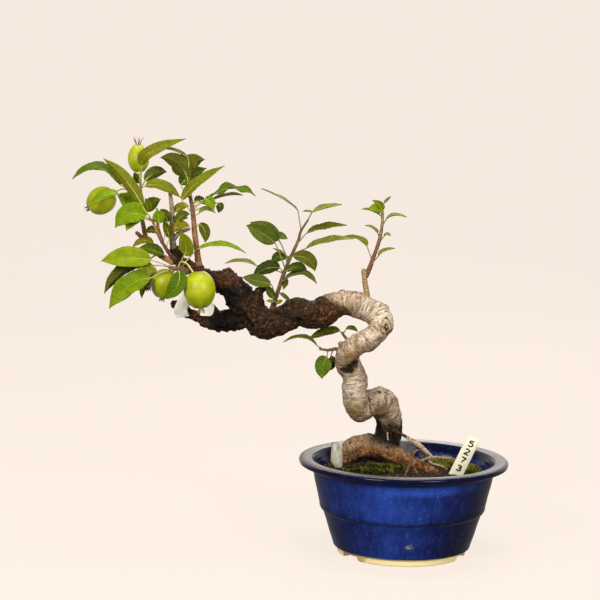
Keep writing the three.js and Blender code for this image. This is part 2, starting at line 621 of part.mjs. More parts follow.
function shoot(spec) {
  const grown = union([stemWood(spec), ...spec.leaves.map(leaf)]);
  return largestBody(grown.subtract(trunkWood(GAP)));
}

// Apples: a turned fruit, a little narrower towards its calyx, with a hollow at both ends.
// `down` points from the stalk end to the calyx end, and `size` is the width and the length.
const APPLE_PROFILE = [
  [0, -0.8], [0.34, -0.98], [0.76, -0.8], [0.99, -0.25], [0.95, 0.35], [0.68, 0.8], [0.36, 0.98],
  [0, 0.9],
];
const APPLES = {
  apple_1: {
    centre: [199.5, 289.5, -32], size: [36, 41], down: [0.1, -0.1, -1], spur: "front_spur",
    stalk: [[178, 268, -9], [181, 262, -16], [187, 264, -25], [193, 272, -30]],
  },
  apple_2: {
    centre: [165, 284, -2], size: [32, 33], down: [-0.2, 0.2, -1], spur: "front_spur",
    stalk: [[176, 269, -10], [172, 272, -4]],
  },
  apple_3: {
    centre: [101.5, 200.5, 0], size: [31, 33], down: [-1, 0.1, -0.6], spur: "left_twig",
    stalk: [[142, 200, 6], [132, 191, 9], [121, 189, 6], [112, 195, 1]],
  },
  apple_4: {
    centre: [138.5, 158.5, 9], size: [24, 31], down: [-0.05, 0.1, 1], spur: "left_twig",
    stalk: [[140, 178, 3], [140, 174, 8]],
  },
  apple_5: {
    centre: [147, 275, 18], size: [25, 28], down: [0.1, 0, -1], spur: "left_twig",
    stalk: [[160, 254, 9], [154, 256, 15], [148, 262, 18]],
  },
};

function apple({ centre, size: [width, length], down, stalk: route, spur }) {
  const axis = new THREE.Vector3(...down).normalize();
  const middle = place(centre);
  const profile = APPLE_PROFILE.map(
    ([r, h]) => new THREE.Vector2((r * width) / 2, (h * length) / 2),
  );
  const turn = new THREE.Quaternion().setFromUnitVectors(new THREE.Vector3(0, 1, 0), axis);
  const lathe = new THREE.LatheGeometry(profile, 11);
  lathe.applyQuaternion(turn).translate(middle.x, middle.y, middle.z);
  const at = (share) => middle.clone().addScaledVector(axis, (share * length) / 2);
  const stem = stalk([...route.map(place), at(-0.6)], 1.1, 1, 4);
  const sepals = [0, 1, 2, 3, 4].map((i) => {
    const angle = (i / 5) * 2 * Math.PI;
    const out = new THREE.Vector3(Math.cos(angle), 0, Math.sin(angle)).applyQuaternion(turn);
    const root = at(0.8).addScaledVector(out, 1.6);
    const end = at(1).addScaledVector(axis, 4.5).addScaledVector(out, 3);
    return stalk([root, end], 0.9, 0.45, 3);
  });
  const body = union([solidOf(lathe), stem, ...sepals]);
  return largestBody(body.subtract(trunkWood(GAP)).subtract(stemWood(SHOOTS[spur], GAP)));
}

// Labels in the soil, and a white tie over the low branch. `extra` widens the hole for a label.
const LABELS = {
  name_label: { top: [474, 438, -28], foot: [452, 482, -29], width: 15.5, thickness: 1.2 },
  weathered_label: { top: [337, 442, 2], foot: [336, 478, 6], width: 12, thickness: 1.2 },
};
const TIE_ROUTE = [
  [184, 319, -6], [181, 309, -10], [184, 299, -8], [192, 294, 0], [200, 297, 2],
  [207, 306, -2], [206, 317, -2.6],
];

function label({ top, foot, width, thickness }, extra = 0) {
  const ends = [place(foot), place(top)];
  const along = ends[1].clone().sub(ends[0]).normalize();
  const across = along.clone().cross(new THREE.Vector3(0, 1, 0));
  ends[0].addScaledVector(along, -extra);
  return strip(ends, across, width + 2 * extra, thickness + 2 * extra);
}

function branchTie() {
  const loop = strip(TIE_ROUTE.map(place), new THREE.Vector3(0.6, 0.8, 0.1), 15, 0.8);
  return largestBody(loop.subtract(trunkWood(GAP)));
}

// Materials
const FINISH = {
  glaze: { color: 0x2f4aa8, roughness: 0.22, metalness: 0 },
  soil: { color: 0x2b211a, roughness: 0.95, metalness: 0 },
  moss: { color: 0x6f8a1e, roughness: 0.95, metalness: 0 },
  bark: { color: 0x6b5140, roughness: 0.85, metalness: 0 },
  foliage: { color: 0x5f8a16, roughness: 0.5, metalness: 0 },
  fruit: { color: 0xb7c21a, roughness: 0.3, metalness: 0 },
  plastic: { color: 0xf0ead8, roughness: 0.5, metalness: 0 },
};

const tree = new THREE.Group();

function add(name, solid, finish) {
  const mesh = new THREE.Mesh(geometryOf(solid), new THREE.MeshStandardMaterial(FINISH[finish]));
  mesh.name = name;
  tree.add(mesh);
}

const rooted = trunkWood();
const rootHole = trunkWood(GAP);
const labelHoles = union(Object.values(LABELS).map((spec) => label(spec, GAP)));
const mossHoles = union(Object.values(MOSS).map((spec) => mossPad({ ...spec, extra: GAP })));

add("pot", pot(), "glaze");
add("soil", largestBody(soil().subtract(rootHole).subtract(labelHoles).subtract(mossHoles)), "soil");
for (const [name, spec] of Object.entries(MOSS)) {
  const pad = mossPad(spec).subtract(rootHole).subtract(labelHoles);
  add(name, largestBody(pad), "moss");
}
add("trunk", rooted, "bark");
for (const [name, spec] of Object.entries(SHOOTS)) {
  add(name, shoot(spec), "foliage");
}
for (const [name, spec] of Object.entries(APPLES)) {
  add(name, apple(spec), "fruit");
}
for (const [name, spec] of Object.entries(LABELS)) {
  add(name, label(spec), "plastic");
}
add("branch_tie", branchTie(), "plastic");

export default tree;
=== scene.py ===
"""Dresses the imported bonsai: a small-fruited apple tree in a flared round pot of blue glaze.

Lengths are in millimetres in the tables and metres in the scene. +Z is up and +Y away from the front.
"""

import logging
import math
from dataclasses import dataclass, field
from enum import Enum
from typing import Callable, Iterable, Sequence, Union

import bpy
import numpy as np
from mathutils import Matrix, Vector, noise


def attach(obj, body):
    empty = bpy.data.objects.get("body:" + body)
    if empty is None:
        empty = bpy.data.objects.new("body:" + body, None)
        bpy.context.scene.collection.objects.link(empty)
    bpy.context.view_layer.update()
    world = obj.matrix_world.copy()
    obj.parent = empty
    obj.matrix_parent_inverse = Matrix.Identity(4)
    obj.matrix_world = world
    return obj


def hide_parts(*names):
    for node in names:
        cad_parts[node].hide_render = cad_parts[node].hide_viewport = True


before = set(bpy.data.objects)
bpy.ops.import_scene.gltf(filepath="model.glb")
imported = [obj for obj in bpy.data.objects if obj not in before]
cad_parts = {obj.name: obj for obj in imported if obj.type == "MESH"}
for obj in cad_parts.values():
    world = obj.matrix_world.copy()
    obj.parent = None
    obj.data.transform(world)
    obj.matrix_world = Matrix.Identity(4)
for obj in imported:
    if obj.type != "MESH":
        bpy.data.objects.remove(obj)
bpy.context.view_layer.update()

LOG = logging.getLogger("bonsai")
MM = 0.001
BODY = "root"
VEIN_PITCH = 5.2
VEIN_SLANT = 0.85

Place = tuple[float, float, float]
Stop = tuple[float, float, float, float]
Colour = tuple[float, float, float, float]
Array = np.ndarray
Material = bpy.types.Material
Piece = bpy.types.Object


def tint(code: str) -> Colour:
    """Turns a colour code such as 7a8c2f into a linear colour.

    Args:
        code: The code.

    Returns:
        The colour, with its alpha.
    """
    parts = [int(code[i:i + 2], 16) / 255 for i in (0, 2, 4)]
    red, green, blue = [p / 12.92 if p <= 0.04045 else ((p + 0.055) / 1.055) ** 2.4 for p in parts]
    return red, green, blue, 1.0


def lengths(vectors: Array) -> Array:
    """The length of each vector."""
    return np.linalg.norm(vectors, axis=-1)


def unit(vectors: Array) -> Array:
    """Scales each vector to length one."""
    return vectors / np.maximum(lengths(vectors)[..., None], 1e-9)


def ease(values: Array, start: float, end: float) -> Array:
    """Rises smoothly from 0 at start to 1 at end."""
    share = np.clip((values - start) / (end - start), 0, 1)
    return share * share * (3 - 2 * share)


def circle(sides: int) -> Array:
    """The angles of a circle's points."""
    return np.arange(sides) / sides * 2 * np.pi


def grit(points: Array, size: float, octaves: int = 3, seed: float = 0.0) -> Array:
    """Samples fractal noise.

    Args:
        points: Where to sample it, in mm.
        size: The width of its largest lumps, in mm.
        octaves: How many finer layers it has.
        seed: Moves the pattern.

    Returns:
        A value of about -1 to 1 for each point.
    """
    shift = Vector((seed, 1.7 * seed, -seed))
    return np.array(
        [noise.fractal(Vector(p) + shift, 1.0, 2.0, octaves) for p in (points / size).tolist()]
    )


def linked(name: str, data: bpy.types.ID) -> Piece:
    """Makes an object of some data and puts it in the scene.

    Args:
        name: The object's name.
        data: Its mesh, lamp or camera.

    Returns:
        The object.
    """
    made = bpy.data.objects.new(name, data)
    bpy.context.scene.collection.objects.link(made)
    return made


# The front view


@dataclass(frozen=True)
class FrontView:
    """The view from the front: a place in it is a column and a row of a 600 by 600 picture, with
    a depth in mm behind the pot's axis."""

    picture: float = 600.0
    focal: float = 1923.0
    distance: float = 2200.0
    pitch: float = math.radians(6.6)
    roll: float = math.radians(1.1)
    rim_column: float = 403.4
    rim_row: float = 460.5
    rim_x: float = 130.0
    rim_z: float = 106.0
    sensor: float = 36.0

    @property
    def forward(self) -> Array:
        """The direction that the camera looks in."""
        return np.array([0, math.cos(self.pitch), -math.sin(self.pitch)])

    @property
    def upward(self) -> Array:
        """The direction that would be up in the picture without its roll."""
        return np.array([0, math.sin(self.pitch), math.cos(self.pitch)])

    def upright(self, column: float, row: float) -> tuple[float, float]:
        """Turns a picture offset as if the picture had no roll.

        Args:
            column: Pixels right of the middle.
            row: Pixels below it.

        Returns:
            The turned offset.
        """
        across = column - self.picture / 2
        down = row - self.picture / 2
        c, s = math.cos(self.roll), math.sin(self.roll)
        return across * c + down * s, down * c - across * s

    @property
    def eye(self) -> Array:
        """The point that the camera looks from, in mm.

        Returns:
            The point.
        """
        across, down = self.upright(self.rim_column, self.rim_row)
        scale = self.distance / self.focal
        rim = np.array([self.rim_x - across * scale, 0, self.rim_z])
        return rim + self.upward * down * scale - self.forward * self.distance

    def place(self, spot: Sequence[float]) -> Array:
        """The point in mm that the picture shows at a column and row, at a depth.

        Args:
            spot: The column and row in pixels, and the depth in mm.

        Returns:
            The point.
        """
        across, down = self.upright(spot[0], spot[1])
        ray = np.array([across, 0, 0]) - self.upward * down + self.forward * self.focal
        eye = self.eye
        return eye + ray * (spot[2] - eye[1]) / ray[1]

    def places(self, spots: Iterable[Sequence[float]]) -> Array:
        """The points in mm of several spots."""
        return np.array([self.place(spot) for spot in spots])

    def camera(self) -> None:
        """Makes the scene's camera."""
        data = bpy.data.cameras.new("front_view")
        data.sensor_width = self.sensor
        data.lens = self.sensor * self.focal / self.picture
        data.clip_end = 100.0
        camera = linked("front_view", data)
        c, s = math.cos(self.roll), math.sin(self.roll)
        right = np.array([c, 0, 0]) + s * self.upward
        up = c * self.upward - np.array([s, 0, 0])
        turn = Matrix((right, up, -self.forward)).transposed().to_4x4()
        camera.matrix_world = Matrix.Translation(Vector(self.eye * MM)) @ turn
        bpy.context.scene.camera = camera


FRONT = FrontView()


# Closed skins


@dataclass
class Skin:
    """Points in mm with faces over them, values kept at each point, and a finish for each face."""

    points: Array
    faces: list[tuple[int, ...]]
    values: dict[str, Array] = field(default_factory=dict)
    finish: int = 0
    finishes: Array | None = None

    def paint(self, tone: Array | Colour, finish: int = 0) -> "Skin":
        """Gives every point one tone, or each its own, and picks the finish.

        Args:
            tone: The tone or tones.
            finish: The finish's number.

        Returns:
            The same skin.
        """
        self.values["tone"] = np.array(tone) * np.ones((len(self.points), 1))
        self.finish = finish
        return self

    def volume(self) -> float:
        """The signed volume, which is below zero where the faces point inwards.

        Returns:
            The volume, in cubic mm.
        """
        fans = [(f[0], f[k], f[k + 1]) for f in self.faces for k in range(1, len(f) - 1)]
        a, b, c = (self.points[np.array(fans)[:, k]] for k in range(3))
        return float(np.einsum("ij,ij->", a, np.cross(b, c))) / 6

    def outward(self) -> "Skin":
        """Turns the faces so that they point outwards.

        Returns:
            The same skin.
        """
        if self.volume() < 0:
            self.faces = [tuple(reversed(face)) for face in self.faces]
        return self


def joined(skins: Sequence[Skin]) -> Skin:
    """Puts several skins in one, each still closed by itself.

    Args:
        skins: The skins, in order.

    Returns:
        A skin with all their points, faces and values.
    """
    faces: list[tuple[int, ...]] = []
    finishes = []
    start = 0
    for skin in skins:
        faces += [tuple(i + start for i in face) for face in skin.faces]
        own = skin.finishes if skin.finishes is not None else np.full(len(skin.faces), skin.finish)
        finishes.append(own)
        start += len(skin.points)
    keys = {key: value.shape[1:] for skin in skins for key, value in skin.values.items()}
    values = {}
    for key, shape in keys.items():
        blank = [skin.values.get(key, np.zeros((len(skin.points), *shape))) for skin in skins]
        values[key] = np.concatenate(blank)
    points = np.concatenate([skin.points for skin in skins])
    return Skin(points, faces, values, finishes=np.concatenate(finishes))


def bands(rows: int, sides: int, first: int = 0, closed: bool = False) -> list[tuple[int, ...]]:
    """Lists the faces between rings of points.

    Args:
        rows: How many rings there are.
        sides: How many points each has.
        first: The number of the first point.
        closed: Whether the last ring joins the first.

    Returns:
        The faces.
    """
    faces = []
    for row in range(rows if closed else rows - 1):
        low, high = first + row * sides, first + (row + 1) % rows * sides
        for side in range(sides):
            after = (side + 1) % sides
            faces.append((low + side, low + after, high + after, high + side))
    return faces


def over_rings(rings: Array, first: Array, last: Array) -> Skin:
    """Closes a skin over rings of points.

    Args:
        rings: The rings, as rings by sides by 3.
        first: The point that closes the first ring.
        last: The point that closes the last ring.

    Returns:
        The skin, whose points are the first one, the rings in turn and the last one.
    """
    count, sides = rings.shape[:2]
    points = np.vstack([first, rings.reshape(-1, 3), last])
    tail = len(points) - 1
    end = tail - sides
    caps: list[tuple[int, ...]] = []
    for side in range(sides):
        after = (side + 1) % sides
        caps += [(0, 1 + after, 1 + side), (tail, end + side, end + after)]
    return Skin(points, caps + bands(count, sides, 1)).outward()


def spun(profile: Array, axis: Sequence[float], sides: int) -> Skin:
    """Turns a closed profile about an upright axis.

    Args:
        profile: Radius and height of each point, in mm, in order round the wall.
        axis: X and Y of the axis.
        sides: How many steps the turn has.

    Returns:
        A ring-shaped skin, which is closed without end points.
    """
    angles = circle(sides)
    points = np.empty((len(profile), sides, 3))
    points[..., 0] = axis[0] + profile[:, :1] * np.cos(angles)
    points[..., 1] = axis[1] + profile[:, :1] * np.sin(angles)
    points[..., 2] = profile[:, 1:]
    return Skin(points.reshape(-1, 3), bands(len(profile), sides, closed=True)).outward()


def rounded(corners: Sequence[Sequence[float]], longest: float) -> Array:
    """Rounds the corners of a closed profile and fills its long sides with points.

    Args:
        corners: Radius, height and the reach of the rounding at each corner, in mm.
        longest: The longest step between two points.

    Returns:
        The points of the profile.
    """
    spots = np.array([corner[:2] for corner in corners], float)
    arcs = []
    for i, spot in enumerate(spots):
        before, after = spots[i - 1], spots[(i + 1) % len(spots)]
        back = min(corners[i][2], 0.45 * np.linalg.norm(before - spot))
        ahead = min(corners[i][2], 0.45 * np.linalg.norm(after - spot))
        start = spot + unit(before - spot) * back
        end = spot + unit(after - spot) * ahead
        shares = np.linspace(0, 1, 6)[:, None]
        arcs.append((1 - shares) ** 2 * start + 2 * shares * (1 - shares) * spot + shares**2 * end)
    loop = np.vstack(arcs)
    filled = []
    for start, end in zip(loop, np.roll(loop, -1, axis=0)):
        steps = max(1, math.ceil(np.linalg.norm(end - start) / longest))
        filled += [start + (end - start) * k / steps for k in range(steps)]
    return np.array(filled)


def follow(points: Array, shares: Array) -> Array:
    """Follows a centripetal curve through points.

    Args:
        points: The points that it passes.
        shares: How far along, from 0 to 1, with each span between two points as long.

    Returns:
        A point for each share.
    """
    padded = np.vstack([2 * points[0] - points[1], points, 2 * points[-1] - points[-2]])
    spans = len(points) - 1
    along = np.clip(shares, 0, 1) * spans
    index = np.minimum(along.astype(int), spans - 1)
    share = (along - index)[:, None]
    a, b, c, d = (padded[index + k] for k in range(4))
    first, middle, last = (
        np.sqrt(np.maximum(lengths(q - p), 1e-6))[:, None]
        for p, q in ((a, b), (b, c), (c, d))
    )
    lead = ((b - a) / first - (c - a) / (first + middle) + (c - b) / middle) * middle
    trail = ((c - b) / middle - (d - b) / (middle + last) + (d - c) / last) * middle
    square = (3 * (c - b) - 2 * lead - trail) * share**2
    cube = (2 * (b - c) + lead + trail) * share**3
    return b + lead * share + square + cube


@dataclass
class Run:
    """The centre line of a limb or stalk: points, directions and radii, in mm."""

    points: Array
    radii: Array
    tangents: Array
    normals: Array
    along: Array

    @classmethod
    def through(cls, points: Array, radii: Sequence[float], step: float) -> "Run":
        """Lays the line through points.

        Args:
            points: The points that it passes.
            radii: The radius at each.
            step: The distance between two points of the line.

        Returns:
            The line.
        """
        rough = follow(points, np.linspace(0, 1, 200))
        length = lengths(np.diff(rough, axis=0)).sum()
        shares = np.linspace(0, 1, max(4, round(length / step)) + 1)
        line = follow(points, shares)
        tangents = unit(np.gradient(line, axis=0))
        normals = np.empty_like(line)
        normal = np.array([0.0, 1.0, 0.0])
        if abs(tangents[0][1]) > 0.9:
            normal = np.array([0.3, 0.2, 1.0])
        for i, tangent in enumerate(tangents):
            normal = unit(normal - tangent * normal.dot(tangent))
            normals[i] = normal
        steps = lengths(np.diff(line, axis=0))
        along = np.concatenate([[0], np.cumsum(steps)])
        width = np.interp(shares, np.linspace(0, 1, len(points)), radii)
        return cls(line, width, tangents, normals, along)

    @classmethod
    def of_stops(cls, stops: Sequence[Stop], step: float) -> "Run":
        """Lays the line through stops of column, row, depth and radius."""
        return cls.through(FRONT.places(stops), [stop[3] for stop in stops], step)

    @property
    def sides(self) -> Array:
        """The direction at right angles to the tangent and the normal."""
        return np.cross(self.tangents, self.normals)

    def tube(self, sides: int, swell: float = 0.0, lumps: float = 0.0) -> Skin:
        """Skins the line as a round tube with domed ends.

        Args:
            sides: How many points are round it.
            swell: How far its bark swells round it, as a share of its radius.
            lumps: How far its nodes swell along it, as a share of its radius.

        Returns:
            The skin, with grain values of distance along and place across.
        """
        angles = circle(sides)
        domes = np.array([0.97, 0.87, 0.7, 0.45, 0.2])
        last = len(self.points) - 1
        index = np.concatenate([np.zeros(5, int), np.arange(last + 1), np.full(5, last)])
        back = np.concatenate([-domes, np.zeros(last + 1), domes[::-1]])
        along = self.along[index][:, None]
        wave = np.sin(3 * angles + along / 9) + np.sin(2 * angles - along / 6)
        reach = (self.radii[index] * np.sqrt(1 - back**2))[:, None] * (1 + swell * wave)
        reach = reach * (1 + lumps * np.cos(along / 1.6) ** 6)
        centre = self.points[index] + self.tangents[index] * (back * self.radii[index])[:, None]
        normal, side = self.normals[index][:, None], self.sides[index][:, None]
        around = normal * np.cos(angles)[:, None] + side * np.sin(angles)[:, None]
        rings = centre[:, None] + around * reach[..., None]
        caps = self.tangents * self.radii[:, None]
        skin = over_rings(rings, self.points[0] - caps[0], self.points[-1] + caps[-1])
        along = np.broadcast_to(along, reach.shape)
        grain = np.stack([along, reach * np.cos(angles), reach * np.sin(angles)], -1).reshape(-1, 3)
        skin.values["grain"] = np.vstack([[0, 0, 0], grain, [self.along[-1], 0, 0]])
        return skin


def mesh_piece(name: str, skin: Skin, finishes: Sequence[Material]) -> Piece:
    """Makes an object of a skin.

    Args:
        name: The piece's name.
        skin: Its points, faces and values.
        finishes: Its materials, which the skin's faces number.

    Returns:
        The object, at the origin and shaded smooth.
    """
    mesh = bpy.data.meshes.new(name)
    mesh.from_pydata((skin.points * MM).tolist(), [], skin.faces)
    kinds = {1: ("FLOAT", "value"), 3: ("FLOAT_VECTOR", "vector"), 4: ("FLOAT_COLOR", "color")}
    for key, value in skin.values.items():
        width = 1 if value.ndim == 1 else value.shape[1]
        kind, channel = kinds[width]
        layer = mesh.attributes.new(key, kind, "POINT")
        layer.data.foreach_set(channel, value.astype(np.float32).ravel())
    for finish in finishes:
        mesh.materials.append(finish)
    if skin.finishes is not None:
        mesh.polygons.foreach_set("material_index", skin.finishes.astype(np.int32))
    mesh.polygons.foreach_set("use_smooth", np.ones(len(mesh.polygons), bool))
    mesh.update()
    return linked(name, mesh)


def seat(piece: Piece, node: str) -> None:
    """Puts a finished piece on the tree's body.

    Args:
        piece: The piece.
        node: The CAD node that it replaces.
    """
    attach(piece, BODY)
    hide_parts(node)
    LOG.info("%s: %d faces for %s", piece.name, len(piece.data.polygons), node)


def settled(piece: Piece) -> Piece:
    """Makes what a piece's modifiers give its plain mesh, and removes them.

    Args:
        piece: The piece.

    Returns:
        The same piece.
    """
    depsgraph = bpy.context.evaluated_depsgraph_get()
    mesh = bpy.data.meshes.new_from_object(piece.evaluated_get(depsgraph), depsgraph=depsgraph)
    piece.modifiers.clear()
    piece.data = mesh
    mesh.name = piece.name
    mesh.polygons.foreach_set("use_smooth", np.ones(len(mesh.polygons), bool))
    return piece


# Node trees


Term = Union["Socket", float]


def operator(kind: str, swapped: bool = False) -> Callable[..., "Socket"]:
    """Makes a method of a socket that adds a Math node.

    Args:
        kind: The node's operation.
        swapped: Whether the socket is the second term.

    Returns:
        The method.
    """

    def act(self: "Socket", *terms: Term) -> "Socket":
        """Adds the node."""
        return self.graph.maths(kind, *((*terms, self) if swapped else (self, *terms)))

    return act


class Socket:
    """A socket that adds, multiplies and compares as a number does."""

    __add__ = operator("ADD")
    __radd__ = operator("ADD", True)
    __sub__ = operator("SUBTRACT")
    __rsub__ = operator("SUBTRACT", True)
    __mul__ = operator("MULTIPLY")
    __rmul__ = operator("MULTIPLY", True)
    __truediv__ = operator("DIVIDE")
    __pow__ = operator("POWER")
    __abs__ = operator("ABSOLUTE")
    fraction = operator("FRACT")

    def __init__(self, graph: "Graph", link: bpy.types.NodeSocket) -> None:
        """Wraps a socket of a graph's node."""
        self.graph = graph
        self.link = link

    def ease(self, start: float, end: float) -> "Socket":
        """Rises smoothly from 0 at start to 1 at end, or falls where end is below start.

        Args:
            start: Where it is 0.
            end: Where it is 1.

        Returns:
            The value.
        """
        inputs = {0: self, 1: min(start, end), 2: max(start, end)}
        risen = self.graph.node("ShaderNodeMapRange", {"interpolation_type": "SMOOTHSTEP"}, inputs)
        return risen if start < end else 1 - risen


class Graph:
    """Adds nodes to one node tree."""

    def __init__(self, tree: bpy.types.NodeTree) -> None:
        """Starts on an empty tree."""
        self.tree = tree

    def node(self, kind: str, settings: dict | None = None, inputs: dict | None = None,
             output: int | str = 0) -> Socket:
        """Makes a node of any type.

        Args:
            kind: The node's type.
            settings: Its settings, which are set first.
            inputs: Values or links of its sockets, by name or number.
            output: Which of its outputs to give back.

        Returns:
            That output.
        """
        made = self.tree.nodes.new(kind)
        for name, value in (settings or {}).items():
            setattr(made, name, value)
        for name, value in (inputs or {}).items():
            self.feed(made.inputs[name], value)
        return Socket(self, made.outputs[output] if len(made.outputs) else None)

    def feed(self, socket: bpy.types.NodeSocket, value: object) -> None:
        """Links a socket, or sets its value.

        Args:
            socket: A node's input.
            value: A socket to link to it, or its value.
        """
        if isinstance(value, Socket):
            self.tree.links.new(value.link, socket)
        else:
            socket.default_value = value

    def maths(self, operation: str, *terms: Term) -> Socket:
        """Adds a Math node on one to three terms."""
        return self.node("ShaderNodeMath", {"operation": operation}, dict(enumerate(terms)))

    def vectors(self, operation: str, *terms: object) -> Socket:
        """Adds a Vector Math node."""
        return self.node("ShaderNodeVectorMath", {"operation": operation}, dict(enumerate(terms)))

    def scaled(self, vector: object, factor: Term) -> Socket:
        """Makes a vector longer by a factor."""
        return self.node("ShaderNodeVectorMath", {"operation": "SCALE"}, {0: vector, "Scale": factor})


class Finish(Graph):
    """A material being made, with the sockets that its patterns start from."""

    def __init__(self, name: str) -> None:
        """Starts an empty material.

        Args:
            name: The material's name.
        """
        self.material = bpy.data.materials.new(name)
        self.material.use_nodes = True
        super().__init__(self.material.node_tree)
        self.tree.nodes.clear()
        self.place = self.scaled(self.node("ShaderNodeTexCoord", output="Object"), 1 / MM)

    def stretched(self, vector: Socket, factors: tuple[float, float, float]) -> Socket:
        """Scales a vector's three parts."""
        return self.vectors("MULTIPLY", vector, factors)

    def parts(self, vector: Socket) -> tuple[Socket, Socket, Socket]:
        """Splits a vector."""
        split = self.node("ShaderNodeSeparateXYZ", None, {0: vector}).link.node
        return tuple(Socket(self, split.outputs[k]) for k in range(3))

    def kept(self, name: str, output: str = "Fac") -> Socket:
        """Reads a value that the mesh keeps at its points."""
        return self.node("ShaderNodeAttribute", {"attribute_name": name}, None, output)

    def noise(self, size: float, detail: float = 3.0, rough: float = 0.55, warp: float = 0.0,
              at: Socket | None = None) -> Socket:
        """Adds fractal noise.

        Args:
            size: The width of its largest lumps, in mm.
            detail: How many finer layers it has.
            rough: How strong the finer layers are.
            warp: How far it is distorted.
            at: Where it is sampled, in mm, if not at the place itself.

        Returns:
            A value of about 0.2 to 0.8.
        """
        inputs = {"Vector": at or self.place, "Scale": 1 / size, "Detail": detail}
        inputs |= {"Roughness": rough, "Distortion": warp}
        return self.node("ShaderNodeTexNoise", {"noise_dimensions": "3D"}, inputs)

    def cells(self, size: float, feature: str = "F1") -> Socket:
        """Adds a cell pattern whose cells are about this many mm wide."""
        inputs = {"Vector": self.place, "Scale": 1 / size}
        return self.node("ShaderNodeTexVoronoi", {"feature": feature}, inputs)

    def mix(self, share: Term, first: object, second: object) -> Socket:
        """Mixes two colours by a share."""
        settings = {"data_type": "RGBA", "blend_type": "MIX", "clamp_factor": True}
        return self.node("ShaderNodeMix", settings, {0: share, 6: first, 7: second}, 2)

    def coats(self, colour: object, *coats: tuple[Term, object]) -> Socket:
        """Lays coats over a colour in turn, each by its share.

        Args:
            colour: The colour below.
            coats: The share and colour of each.

        Returns:
            The colour on top.
        """
        for share, coat in coats:
            colour = self.mix(share, colour, coat)
        return colour

    def bump(self, height: Socket, depth: float) -> Socket:
        """Makes a relief whose full height is a depth in mm."""
        return self.node("ShaderNodeBump", None, {"Height": height, "Distance": depth * MM})

    def surface(self, colour: object, rough: Term, relief: Socket | None = None,
                gloss: float = 0.5, constants: dict | None = None) -> Material:
        """Ends the material in a principled surface.

        Args:
            colour: Its base colour.
            rough: Its roughness.
            relief: Its normal, from a bump.
            gloss: How much it mirrors head on.
            constants: Other values that are the same all over it, by socket name.

        Returns:
            The material.
        """
        inputs = {"Base Color": colour, "Roughness": rough, "Specular IOR Level": gloss}
        inputs |= constants or {}
        if relief is not None:
            inputs["Normal"] = relief
        shader = self.node("ShaderNodeBsdfPrincipled", None, inputs)
        self.node("ShaderNodeOutputMaterial", None, {"Surface": shader})
        return self.material


def flesh(weight: float, radius: Place, depth: float) -> dict[str, object]:
    """Lists the values of light that passes a skin: its share, its reach by colour and in mm."""
    return {"Subsurface Weight": weight, "Subsurface Radius": radius, "Subsurface Scale": depth * MM}


# Finishes


@dataclass(frozen=True)
class GlazeFinish:
    """Blue glaze over the pot, and the bare clay of its foot."""

    deep: Colour = tint("0c0e3c")
    blue: Colour = tint("2b50b6")
    sky: Colour = tint("7f9fe6")
    black: Colour = tint("080a1c")
    iron_and_sheen: Colour = tint("6f6b68")
    clay: Colour = tint("ffe9ac")
    stain: Colour = tint("a87640")
    flaw: Colour = tint("8d8672")

    def material(self) -> Material:
        """Makes the material, which reads the pot's bare, shade, edge, dirt and chip values; the shade
        value is painted shade and highlight, and the edge value is partly a painted reflection.

        Returns:
            The material.
        """
        make = Finish("blue_glaze")
        cloud = make.noise(30, 4, 0.55)
        mottle = make.noise(6, 6, 0.6, at=make.stretched(make.place, (1.0, 1.0, 0.3)))
        fine = make.noise(1.5, 3, 0.6)
        shade = make.kept("shade")
        # Painted shade and highlight: the kept shade value lightens or deepens the blue, adds black under
        # the lip and dims the pale specks.
        amount = 0.88 + (cloud - 0.5) * 0.55 + (mottle - 0.5) * 0.5 - shade
        speck = make.cells(1.9).ease(0.3, 0.12) * mottle.ease(0.46, 0.62)
        glint = make.cells(6.5).ease(0.14, 0.05) * cloud.ease(0.42, 0.6)
        light = (speck * 0.4 + glint * 0.45) * (1.2 - shade * 0.8)
        edge = (make.kept("edge") + (mottle - 0.5) * 0.5).ease(0.25, 0.85)
        chip = (make.kept("chip") + (fine - 0.5) * 0.6).ease(0.4, 0.6)
        dirt = (make.kept("dirt") + (make.noise(7, 4, 0.6) - 0.5) * 1.1).ease(0.35, 0.85)
        bare = make.kept("bare").ease(0.35, 0.65)
        clay = make.coats(
            self.clay, (dirt * 0.6, self.stain), (fine.ease(0.6, 0.75) * 0.2, self.stain)
        )
        colour = make.coats(
            self.deep,
            (amount.ease(-0.1, 1.1), self.blue),
            # Painted shade: black where the shade value is high, under the lip.
            (shade.ease(0.7, 1.0) * 0.7, self.black),
            (light, self.sky),
            (fine.ease(0.5, 0.72) * 0.08 * (1 - shade), self.sky),
            # Partly iron glaze break and stain, partly a painted reflection on the lip's top and rolled
            # edge.
            (edge * 0.75, self.iron_and_sheen),
            (chip, make.mix(fine.ease(0.42, 0.55), self.black, self.flaw)),
            (bare, clay),
        )
        rough = 0.13 + bare * 0.67 + chip * 0.4 + edge * 0.3 + (mottle - 0.5) * 0.08
        grain = make.noise(0.9, 2, 0.5)
        height = mottle * 0.35 * (1 - bare) + grain * (0.05 + bare * 0.5) - chip * 0.4
        return make.surface(colour, rough, make.bump(height, 0.3), 0.18)


@dataclass(frozen=True)
class EarthFinish:
    """Damp dark soil."""

    dark: Colour = tint("0d0906")
    brown: Colour = tint("2a1f14")
    dust: Colour = tint("5c4a34")

    def material(self) -> Material:
        """Makes the material.

        Returns:
            The material.
        """
        make = Finish("damp_soil")
        lumps = make.noise(5, 5, 0.65)
        dust = make.noise(1.3, 2).ease(0.62, 0.75) * 0.6
        colour = make.coats(self.dark, (lumps.ease(0.35, 0.7), self.brown), (dust, self.dust))
        height = lumps * 0.7 + make.cells(2.4) * 0.5
        return make.surface(colour, 0.92, make.bump(height, 0.8), 0.15)


